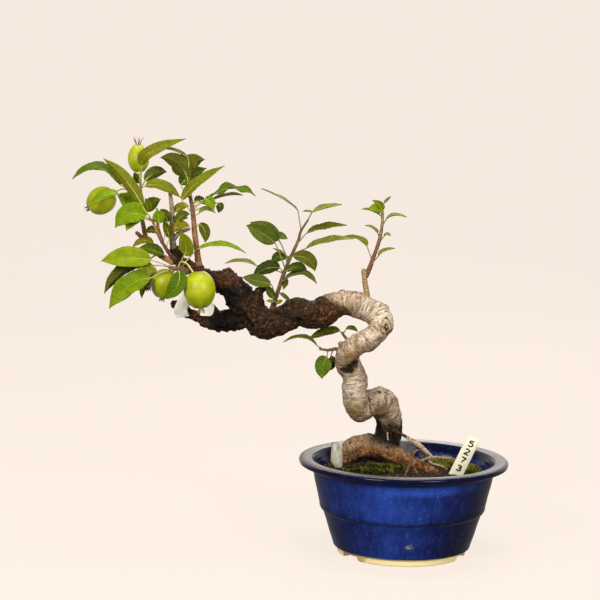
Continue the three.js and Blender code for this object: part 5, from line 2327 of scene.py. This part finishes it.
SHOOTS = (
    Shoot("left_twig", Wood.AMBER, Wood.PALE, (
        ((172, 262, 4, 3.6), (156, 252, 11, 2.8), (147, 240, 11, 2.7), (143, 224, 9, 2.4),
         (141, 206, 6, 2), (141, 192, 4, 1.6), (140, 180, 3, 1.1), (139, 168, 2, 0.8)),
        ((146, 241, 11, 2.4), (137, 233, 8, 2.1)),
    ), (
        Leaf((140, 192, 4), (121, 185, -4), (98, 168, -10), (72, 179, -16), 20, 24, Tone.GREEN),
        Leaf((140, 194, 4), (118, 193, -19), (104, 196, -26), (88, 208, -27), 14, 40, Tone.BRIGHT),
        Leaf((141, 188, 3), (141.5, 165, -9), (151.5, 151.5, -16), (186.5, 138.5, -12), 14.5, 62,
             Tone.KHAKI),
        Leaf((141, 188, 3), (145, 181, 7), (155, 173, 11), (167, 172, 13), 15, -66, Tone.SAGE),
        Leaf((141, 188, 3), (145, 186, 0), (162, 186, -4), (181, 198, -6), 15, 45, Tone.KHAKI),
        Leaf((141, 214, 7), (143, 211, 3), (131, 202, 0), (117, 195, -3), 22, 70, Tone.BRIGHT),
        Leaf((142, 215, 7), (147, 212, 8), (152, 204, 8), (161, 199, 8), 15, -60, Tone.GREEN),
        Leaf((142, 214, 7), (148, 211, 2), (148, 205, 0), (145, 198, -1), 8, 60, Tone.LIME),
        Leaf((141, 188, 3), (140, 183, 8), (137, 178, 9), (134, 172, 10), 9, 60, Tone.GREEN),
        Leaf((157, 253, 11), (153, 244, 6), (144, 241, 4), (132, 247, 2), 12, 35, Tone.GOLD),
        Leaf((168, 259, 6), (164, 255, 3), (152, 250, 0), (138, 248, -2), 16, 44, Tone.GREEN),
    ), age=0.2, stub=Wood.CHESTNUT),
    Shoot("diagonal_twig", Wood.RED_BROWN, Wood.ORANGE_BROWN, (
        ((178, 262, 0, 3.2), (170, 254, -8, 2.3), (160, 238, -12, 1.8), (155, 227, -11, 1.5),
         (152, 220, -11, 1.2)),
        ((162, 242, -12, 2), (158, 226, -9, 1.6), (157, 209, -6, 1.2)),
    ), (
        Leaf((152, 221, -11), (143.5, 208, -15), (126.5, 181, -17), (103, 158, -14), 15, -70, Tone.KHAKI,
             stalk_radius=1.1),
        Leaf((152, 221, -11), (146, 217, -14), (130, 214, -19), (115, 228, -22), 24, 72, Tone.BRIGHT),
        Leaf((152, 221, -11), (142, 218, -13), (133, 221, -16), (126, 231, -19), 13, 62, Tone.BRIGHT),
        Leaf((159, 230, -10), (159, 223, -15), (158.5, 217, -17), (157, 209, -18), 14, 75, Tone.BRIGHT),
        Leaf((163, 243, -12), (168, 222, -5), (165, 215, -6), (160, 209, -7), 12, 70, Tone.OLIVE),
        Leaf((166, 249, -11), (169, 238, -6), (167, 229, -9), (163, 221, -10), 9, 70, Tone.OLIVE),
        Leaf((159, 237, -12), (156, 233, -8), (151, 230, -6), (146, 233, -5), 10, 50, Tone.BROWN),
    )),
    Shoot("grey_twig", Wood.GREY_BROWN, Wood.GREY_BROWN, (
        ((176, 256, 2, 5), (173, 244, 3, 3.6), (172, 232, 2, 2.9), (172, 214, 2, 2.6),
         (171, 200, 2, 2.3), (170, 193, 2, 2)),
        ((173, 240, 3, 3), (179, 233, -1, 2.4), (189, 229, -4, 2)),
    ), (
        Leaf((173, 234, 2), (172, 231, -5), (180, 226, -8), (190, 226, -9), 13, 52, Tone.GOLD),
        Leaf((172, 226, 2), (176, 222, -3), (182, 216, -5), (190, 214, -6), 12, 56, Tone.OLIVE),
        Leaf((172, 214, 2), (175, 212, 5), (181, 207, 6), (189, 206, 6), 11, 52, Tone.KHAKI),
        Leaf((172, 226, 2), (175, 224, 3), (181, 219, 5), (188, 218, 6), 10, 30, Tone.BROWN),
    )),
    Shoot("right_twig", Wood.ORANGE_BROWN, Wood.RED_BROWN, (
        ((200, 276, 4, 5), (199, 268, 3, 4.4), (198, 258, 2, 3.6), (196.5, 246, 2, 3.2),
         (194.5, 232, 2, 3), (193.5, 218, 3, 2.7), (192, 206, 4, 2.3), (190.5, 197, 4, 1.9),
         (190, 190, 4, 1.3)),
    ), (
        Leaf((191, 199, 4), (188, 180, -2), (178, 163, -7), (160, 157.5, -11), 19, -72, Tone.OLIVE),
        Leaf((191, 199, 4), (188, 178, 1), (191, 164, 3), (205, 159.5, 4), 21, -66, Tone.OLIVE),
        Leaf((191, 199, 4), (187, 176, -1), (184, 165, -1), (182, 153, -1), 30, -80, Tone.OLIVE,
             stalk_radius=1.35),
        Leaf((190, 190, 4), (188, 157, -8), (174, 150, -12), (158, 148, -14), 6.5, 30, Tone.SAGE),
        Leaf((192, 203, 4), (181, 185, 12), (190, 176, 14), (207, 168, 15), 17, 62, Tone.GREEN),
        Leaf((192, 214, 3), (182, 200, -3), (197, 183, -7), (225, 165.5, -11), 13, 52, Tone.KHAKI),
        Leaf((192, 204, 4), (207, 199, 0), (232, 188, -5), (256, 196, -9), 13, 28, Tone.GREEN, 0.5),
        Leaf((192, 207, 4), (211, 200, 6), (228, 195, 5), (243, 195, 4), 10, 14, Tone.OLIVE),
        Leaf((193, 210, 3), (205, 199, -5), (210, 202, -8), (214, 210, -10), 12, 72, Tone.BRIGHT),
        Leaf((193, 211, 3), (219, 203, 1), (220, 207, 0), (218, 213, -1), 9, 78, Tone.DARK),
        Leaf((192, 204, 4), (195, 202, 8), (200, 200, 10), (206, 205, 11), 10, 50, Tone.DARK),
        Leaf((193, 217, 3), (199, 213, -1), (206, 209, -3), (216, 213, -5), 8, 34, Tone.PALE),
        Leaf((195, 228, 2), (199, 224, 0), (205, 231, -2), (205, 243, -3), 12, 80, Tone.OLIVE),
    )),
    Shoot("front_spur", Wood.CHESTNUT, Wood.CHESTNUT, (
        ((186, 271, -3, 4.4), (180, 269, -8, 3), (173, 268, -12, 2.1), (169, 267, -13, 1.6)),
    ), (
        Leaf((172, 268, -12), (151, 260, -23), (127, 258, -31), (101, 261, -35), 25, 62, Tone.LIME),
        Leaf((172, 269, -12), (150, 278, -21), (128, 286, -30), (109, 309, -34), 24, 66, Tone.BRIGHT, 0.25),
        Leaf((170, 267, -13), (152, 265, -13), (124, 270, -19), (104, 294, -22), 18, -48, Tone.OLIVE),
        Leaf((171, 269, -13), (153, 278, -18), (144, 286, -19), (142, 299, -20), 8, 60, Tone.DARK),
        Leaf((179, 268, -8), (184, 255, -16), (186, 246, -18), (180, 231, -20), 17, 80, Tone.KHAKI),
        Leaf((181, 268, -8), (196, 250, -13), (221, 244.5, -18), (246, 253, -22), 11, 24, Tone.BRIGHT),
        Leaf((178, 271, -11), (179, 271, -30), (177, 286, -40), (163, 299, -42), 19, 70, Tone.GREEN,
             fold=28.0),
    )),
    Shoot("middle_shoot", Wood.OLIVE_BROWN, Wood.OLIVE_BROWN, (
        ((272, 312, 0, 4), (275, 300, -2, 2.6), (278.5, 290, -4, 2.4), (283, 276, -6, 2.2),
         (288.3, 262, -7, 2), (294, 250, -8, 1.8), (298.5, 240, -8, 1.6), (300.5, 232, -8, 1.5),
         (304, 226, -8, 1.3), (308, 220, -8, 1.1)),
    ), (
        Leaf((285, 268, -7), (275, 243, -14), (262, 233, -18), (246, 225, -20), 20, 78, Tone.SAGE),
        Leaf((288, 260, -7), (279, 240, -9), (266, 231, -9), (250, 222, -8), 20, 64, Tone.SAGE),
        Leaf((288, 260, -7), (277, 236, -7), (281, 236, -8), (288, 239, -9), 9, 60, Tone.SAGE),
        Leaf((301, 230, -8), (298, 210, -6), (284, 199, -8), (261, 188, -10), 13, 7, Tone.GREY, fold=8.0),
        Leaf((307, 222, -8), (312, 212, -11), (325, 208, -13), (342, 204, -15), 15, 16, Tone.PALE),
        Leaf((307, 222, -8), (312, 212, -9), (308, 211, -8), (303, 211, -7), 6, 10, Tone.GREY),
        Leaf((295, 247, -8), (307, 232.5, -15), (325, 227.5, -18), (347, 225, -20), 16, 22, Tone.OLIVE),
        Leaf((290, 256, -7), (306, 248, -14), (328, 241, -19), (354, 238.5, -22), 16, 20, Tone.PALE),
        Leaf((288, 260, -7), (293, 256, -12), (308, 259.5, -18), (315, 271.5, -22), 16, 58, Tone.OLIVE),
        Leaf((287, 262, -7), (286, 259, -2), (279, 257, 1), (271, 262, 3), 13, 60, Tone.DARK),
        Leaf((289, 258, -8), (284, 253, -3), (279, 251, -3), (273, 248, -3), 4, 40, Tone.PALE),
        Leaf((283, 273, -6), (256, 265, 8), (241, 261, 10), (225, 263, 12), 11, 13, Tone.PALE),
        Leaf((284, 274, -6), (280, 268, -1), (267, 268.5, 1), (252.5, 276, 3), 18, 50, Tone.DEEP),
        Leaf((276, 297, -3), (271, 284, -9), (257, 281, -13), (242, 277, -16), 16, 56, Tone.SAGE),
        Leaf((276, 296, -3), (274, 298, -8), (270, 292, -9), (266, 284, -10), 9, 70, Tone.DARK),
        Leaf((283, 273, -6), (286, 271, -11), (297, 267, -14), (307, 269, -16), 12, 46, Tone.DARK),
        Leaf((280, 282, -5), (284, 280, -11), (302, 273, -15), (317, 284, -19), 12, 28, Tone.SAGE),
        Leaf((280, 282, -5), (282, 280, -3), (285, 282, -3), (283, 290, -3), 8, 70, Tone.OLIVE),
        Leaf((277, 294, -3), (280, 293, -8), (285, 296.5, -10), (291, 302, -12), 5, 55, Tone.DARK),
        Leaf((275, 300, -2), (276, 303, -11), (279, 302, -12), (283, 300, -13), 5, 60, Tone.KHAKI),
        Leaf((275, 300, -2), (273, 302, -12), (270, 301, -12), (266, 301, -12), 4, 60, Tone.KHAKI),
    ), rib=Wood.SEDGE),
    Shoot("right_shoot", Wood.CHESTNUT, Wood.TAN, (
        ((367, 304, 6, 4), (366.5, 292, 6, 3.2), (365, 282, 6, 3.1), (364, 271, 6, 3)),
        ((366, 276, 6, 2.8), (370, 267, 5, 2.6), (374, 256, 4, 2.3), (378, 245, 3, 2.1),
         (380.5, 235, 3, 1.9), (382, 225, 3, 1.7), (382.5, 214, 3, 1.6), (381.5, 205, 3, 1.3)),
    ), (
        Leaf((382, 215, 3), (382, 213, -1), (376, 208, -3), (368, 210, -5), 10, 62, Tone.BRIGHT),
        Leaf((382, 211, 3), (382, 210, 0), (380, 205, -1), (372, 200, -2), 8, 62, Tone.KHAKI),
        Leaf((382, 217, 3), (380, 215, 5), (372, 210, 6), (361, 209, 7), 5, 40, Tone.PALE),
        Leaf((382, 206, 3), (384, 203, 4), (387, 200, 4), (391, 196, 5), 4, 40, Tone.GREY),
        Leaf((382, 227, 3), (386, 219, -1), (395, 215, -3), (407, 217, -5), 9, 14, Tone.PALE),
        Leaf((380, 239, 3), (378, 233, 5), (373, 228, 6), (365, 225, 7), 7, 16, Tone.PALE),
        Leaf((381, 240, 3), (384, 236, 0), (387, 234, -1), (391, 236, -2), 5, 30, Tone.PALE),
        Leaf((372, 264, 4), (378, 256, -2), (384, 251, -4), (395, 248, -6), 9, 22, Tone.PALE),
        Leaf((372, 260, 4), (367, 246, 8), (359, 239, 10), (343, 236, 12), 12, 16, Tone.KHAKI),
    ), rib=Wood.SEDGE, age=0.1, stub=Wood.TAN),
    Shoot("low_shoot", Wood.OLIVE_BROWN, Wood.OLIVE_BROWN, (
        ((350, 356, -8, 3.4), (337, 349, -6, 2), (328, 350, -7, 1.6), (320, 349, -8, 1.3)),
    ), (
        Leaf((321, 349, -8), (317, 345, -9), (302, 337, -11), (283, 342, -12), 10, 16, Tone.OLIVE),
        Leaf((328, 350, -7), (327, 357, -9), (323, 366, -13), (322, 379, -15), 19, 80, Tone.GREEN),
        Leaf((333, 350, -7), (331, 356, -4), (332, 363, -3), (329, 371, -2), 10, 80, Tone.BROWN),
    ), rib=Wood.SEDGE),
    Shoot("under_leaf", Wood.OLIVE_BROWN, Wood.OLIVE_BROWN, (
        ((353, 346, -14, 2.4), (346, 338, -9, 1.7), (342, 333, 3, 1.3)),
    ), (
        Leaf((343, 334, 1), (340, 331, 13), (326, 332, 18), (308, 339, 20), 12, 48, Tone.OLIVE),
        Leaf((343, 334, 1), (346, 329, 2), (352, 328, 1), (358, 332, 0), 6.5, 40, Tone.DARK),
    ), rib=Wood.SEDGE),
)


# Apples


@dataclass(frozen=True)
class Apple:
    """One apple: its middle, its width and length in mm, the way its calyx points and its stalk."""

    node: str
    centre: Place
    width: float
    length: float
    down: Place
    stalk: tuple[Place, ...]
    sepal: float = 1.0
    dry: str = "6a4a22"
    prong: float = 0.95

    profile = (
        (0.0, -0.8), (0.1, -0.86), (0.32, -0.98), (0.66, -0.8), (0.93, -0.42), (1.0, 0.0),
        (0.92, 0.42), (0.66, 0.78), (0.34, 0.97), (0.14, 0.95), (0.0, 0.92),
    )
    sides = 72
    rows = 60

    @property
    def axis(self) -> Array:
        """The direction from the stalk end to the calyx end."""
        return unit(np.array(self.down, float))

    def frame(self) -> tuple[Array, Array]:
        """Two directions at right angles to the axis and to each other."""
        first = unit(np.cross(self.axis, [0.3, 1.0, 0.2]))
        return first, np.cross(self.axis, first)

    def at(self, share: float) -> Array:
        """A point on the axis, from -1 at the stalk end to 1 at the calyx end."""
        return FRONT.place(self.centre) + self.axis * share * self.length / 2

    def flesh(self) -> Skin:
        """Makes the fruit, a little lobed round its calyx.

        Returns:
            Its skin.
        """
        line = follow(np.array([(r, h, 0.0) for r, h in self.profile]), np.linspace(0, 1, self.rows))
        angles = circle(self.sides)
        first, second = self.frame()
        around = first * np.cos(angles)[:, None] + second * np.sin(angles)[:, None]
        inner = line[1:-1]
        low = ease(inner[:, 1], 0.1, 1.0)[:, None]
        lobes = 1 + 0.008 * low * np.cos(5 * angles) + 0.012 * np.sin(2 * angles + self.width)
        reach = np.maximum(inner[:, :1], 0.0) * self.width / 2 * lobes
        reach = np.minimum(reach, self.width / 2)
        heights = inner[:, 1:2] * self.length / 2 * np.ones_like(reach)
        lift = 0.02 * self.length * low * np.cos(5 * angles)
        middle = FRONT.place(self.centre)
        rings = middle + self.axis * (heights + lift)[..., None] + around * reach[..., None]
        skin = over_rings(rings, self.at(line[0][1]), self.at(line[-1][1]))
        rounds = np.tile(np.stack([np.cos(angles), np.sin(angles)], 1), (len(inner), 1))
        tall = np.repeat(inner[:, 1], self.sides)
        polar = np.stack([rounds[:, 0], tall, rounds[:, 1]], 1)
        skin.values["polar"] = np.vstack([[0, -1, 0], polar, [0, 1, 0]])
        return skin

    def stem(self) -> Skin:
        """Makes the stalk.

        Returns:
            Its skin.
        """
        route = np.vstack([FRONT.places(self.stalk), self.at(-0.6)])
        radii = np.linspace(1.1, 0.95, len(route))
        return Run.through(route, list(radii), 0.9).tube(12, swell=0.05).paint(Wood.STRAW.colour, 1)

    def sepals(self) -> list[Skin]:
        """Makes the five dry sepals round the calyx.

        Returns:
            Their skins.
        """
        first, second = self.frame()
        skins = []
        for k in range(5):
            angle = k / 5 * 2 * math.pi
            out = first * math.cos(angle) + second * math.sin(angle)
            bend = 1.0 + 0.3 * math.sin(3.1 * k + self.width)
            route = np.array([
                self.at(0.84) + out * 1.4,
                self.at(0.98) + out * 2.0 * bend,
                self.at(1.0) + (self.axis * 2.4 + out * 2.2) * self.sepal,
                self.at(1.0) + (self.axis * 4.6 + out * 3.2 * bend) * self.sepal,
            ])
            radii = [self.prong, self.prong, self.prong * 0.8, 0.2]
            skins.append(Run.through(route, radii, 0.6).tube(8).paint(tint(self.dry), 1))
        return skins

    def build(self, finishes: Sequence[Material]) -> None:
        """Makes the apple with its stalk and sepals."""
        skin = joined([self.flesh(), self.stem(), *self.sepals()])
        seat(mesh_piece(f"{self.node}_fruit", skin, finishes), self.node)


APPLES = (
    Apple("apple_1", (199.5, 289.5, -32), 36, 41, (0.1, -0.1, -1),
          ((178, 268, -9), (181, 262, -16), (187, 264, -25), (193, 272, -30)), 1.5, "a8964c"),
    Apple("apple_2", (165, 284, -2), 32, 33, (-0.2, 0.2, -1), ((176, 269, -10), (172, 272, -4))),
    Apple("apple_3", (101.5, 200.5, 0), 31, 33, (-1, 0.1, -0.6),
          ((142, 200, 6), (132, 191, 9), (121, 189, 6), (112, 195, 1))),
    Apple("apple_4", (138.5, 158.5, 9), 24, 31, (-0.05, 0.1, 1), ((140, 178, 3), (140, 174, 8)),
          1.8, prong=0.55),
    Apple("apple_5", (147, 275, 18), 25, 28, (0.1, 0, -1),
          ((160, 254, 9), (154, 256, 15), (148, 262, 18))),
)


# Labels and tie


DIGIT_STROKES: dict[str, tuple[tuple[tuple[float, float], ...], ...]] = {
    "2": (((0.08, 1.2), (0.22, 1.46), (0.5, 1.52), (0.8, 1.35), (0.82, 1.05), (0.6, 0.7)),
          ((0.6, 0.7), (0.3, 0.35), (0.05, 0.04)), ((0.0, 0.04), (0.95, 0.04))),
    "3": (((0.1, 1.35), (0.5, 1.5), (0.85, 1.2), (0.4, 0.82)),
          ((0.4, 0.82), (0.9, 0.5), (0.6, 0.02), (0.05, 0.15))),
    "5": (((0.9, 1.5), (0.2, 1.5)), ((0.2, 1.5), (0.14, 0.85)),
          ((0.14, 0.88), (0.55, 0.98), (0.88, 0.7), (0.84, 0.25), (0.5, 0.0), (0.05, 0.12))),
    "7": (((0.05, 1.45), (0.95, 1.45)), ((0.95, 1.45), (0.6, 0.8), (0.4, 0.0))),
}


@dataclass(frozen=True)
class Label:
    """A plastic tag stuck in the soil, leaning, with numbers by hand on its front."""

    node: str
    slot: str
    top: Place
    foot: Place
    width: float
    thickness: float
    colour: Colour
    grime: float
    numbers: str
    shoulders: tuple[float, float] = (6.0, 6.0)
    tip_share: float = 0.0
    corner: float = 1.6
    ink_width: float = 1.7
    digit_height: float = 6.4
    digit_width: float = 5.8
    digit_pitch: float = 10.2
    first_digit: float = 4.2

    def axes(self) -> tuple[Array, Array, Array, Array, float]:
        """Works out how the label stands.

        Returns:
            Its foot, the directions along, across and out of its front, and its length in mm.
        """
        foot, top = FRONT.places((self.foot, self.top))
        length = float(np.linalg.norm(top - foot))
        along = (top - foot) / length
        across = unit(np.cross([0, 1, 0], along))
        out = np.cross(across, along)
        if out[1] > 0:
            across, out = -across, -out
        return foot, along, across, out, length

    def tag(self) -> Skin:
        """Makes the tag with rounded corners and edges.

        Returns:
            Its skin.
        """
        foot, along, across, out, length = self.axes()
        half = self.width / 2
        radius = self.corner
        side, end = half - radius, length - radius
        turns = np.linspace(0, np.pi / 2, 7)
        corner = [(side + radius * math.sin(a), end + radius * math.cos(a)) for a in turns]
        low_left, low_right = self.shoulders
        tip = self.tip_share * half
        right = [*corner, (half, low_right), (tip + 1.5, 0.0)]
        left = [*[(-x, y) for x, y in corner], (-half, low_left), (tip - 1.5, 0.0)]
        outline = np.array([*right, *reversed(left)])
        rings = []
        for depth, inset in ((-0.5, 0.35), (-0.32, 0.1), (0.0, 0.0), (0.32, 0.1), (0.5, 0.35)):
            shrink = np.array([1 - inset / half, 1 - inset / length])
            flat = (outline - [0, length / 2]) * shrink + [0, length / 2]
            bow = 0.5 * np.sin(np.pi * flat[:, 1] / length)
            place = foot + flat[:, :1] * across + flat[:, 1:] * along
            rings.append(place + out * (depth * self.thickness + bow)[:, None])
        middle = foot + along * length / 2 + out * 0.5
        shift = out * self.thickness / 2
        return over_rings(np.array(rings), middle - shift, middle + shift)

    def ink(self) -> Skin:
        """Makes the numbers as flat strokes on the front.

        Returns:
            Their joined skin.
        """
        foot, along, across, out, length = self.axes()
        skins = []
        for place, digit in enumerate(self.numbers):
            low = length - self.first_digit - self.digit_height - place * self.digit_pitch
            for stroke in DIGIT_STROKES[digit]:
                shape = np.array([(x - 0.5, y, 0.0) for x, y in stroke])
                line = follow(shape, np.linspace(0, 1, 6 * len(stroke)))
                x, y = line[:, 0] * self.digit_width, low + line[:, 1] * self.digit_height / 1.5
                lift = 0.5 * np.sin(np.pi * y / length) + self.thickness / 2
                route = foot + x[:, None] * across + y[:, None] * along + out * lift[:, None]
                skins.append(self.stroke(route, out))
        return joined(skins)

    def stroke(self, route: Array, out: Array) -> Skin:
        """Makes one flat stroke of ink along a route, whose face looks out.

        Args:
            route: The stroke's middle, in mm.
            out: The way its face looks.

        Returns:
            Its skin.
        """
        way = unit(np.gradient(route, axis=0))
        side = np.cross(way, out) * self.ink_width / 2
        high = out * 0.08
        rings = np.stack([route + side + high, route - side + high, route - side - high,
                          route + side - high], 1)
        skin = over_rings(rings, route[0] - way[0] * 0.3, route[-1] + way[-1] * 0.3)
        skin.finish = 1
        return skin

    def build(self) -> None:
        """Makes the label."""
        plastic = PlasticFinish(f"{self.node}_plastic", self.colour, self.grime).material()
        ink = InkFinish(f"{self.node}_ink").material()
        skins = [self.tag()]
        if self.numbers:
            skins.append(self.ink())
        seat(mesh_piece(f"{self.node}_tag", joined(skins), [plastic, ink]), self.node)


LABELS = (
    Label("name_label", "label_plastic", (474, 438, -28), (452, 482, -29), 15.5, 1.2,
          tint("ddd6ba"), 0.15, "5273"),
    Label("weathered_label", "label_plastic", (336.8, 442, 2), (336.5, 472, 6), 13, 1.2,
          tint("beb8a6"), 0.62, "", shoulders=(13.5, 9.0), tip_share=0.6),
)


@dataclass(frozen=True)
class BranchTie:
    """A soft white strip looped over the low branch."""

    route: tuple[Place, ...] = (
        (182.5, 317, -6), (181, 310, -10), (184.5, 301, -9), (192, 294, 0), (200, 297, 2),
        (207, 306, -2), (206.5, 316, -2.6),
    )
    across: Place = (0.85, 0.15, -0.5)
    width: float = 15.0
    thickness: float = 0.6
    columns: int = 12

    def build(self) -> None:
        """Makes the tie."""
        run = Run.through(FRONT.places(self.route), [1.0] * len(self.route), 1.0)
        across = np.array(self.across)
        side = unit(across - run.tangents * (run.tangents @ across)[:, None])
        over = np.cross(run.tangents, side)
        shares = np.linspace(-1, 1, self.columns)
        upper, lower = [], []
        for share in shares:
            edge = 1 + 0.05 * np.sin(run.along / 3 + share)
            curl = 0.35 * share**2 + 0.15 * np.sin(run.along / 2.5 + 2 * share)
            middle = run.points + side * (share * edge * self.width / 2)[:, None] + over * curl[:, None]
            upper.append(middle + over * self.thickness / 2)
            lower.append(middle - over * self.thickness / 2)
        rings = np.concatenate([np.stack(upper, 1), np.stack(lower, 1)[:, ::-1]], 1)
        skin = over_rings(rings, run.points[0], run.points[-1])
        finish = PlasticFinish("tie_strip", tint("fdf7ec"), 0.1).material()
        seat(mesh_piece("branch_tie_strip", skin, [finish]), "branch_tie")


def main() -> None:
    """Dresses the whole tree, piece by piece."""
    logging.basicConfig(level=logging.INFO, format="%(message)s")
    bpy.context.scene.view_settings.view_transform = "Standard"
    FRONT.camera()
    Studio().build()
    ground = Ground()
    Pot().build()
    Soil(ground).build()
    Moss(ground).build()
    Trunk().build()
    bark = TwigFinish().material()
    foliage = [FoliageFinish().material(), TwigFinish("leaf_stalk", 0.5).material()]
    for shoot in SHOOTS:
        shoot.build(bark, foliage)
    fruit = [AppleFinish().material(), TwigFinish("apple_stalk", 0.6).material()]
    for apple in APPLES:
        apple.build(fruit)
    for label in LABELS:
        label.build()
    BranchTie().build()


if __name__ == "__main__":
    main()
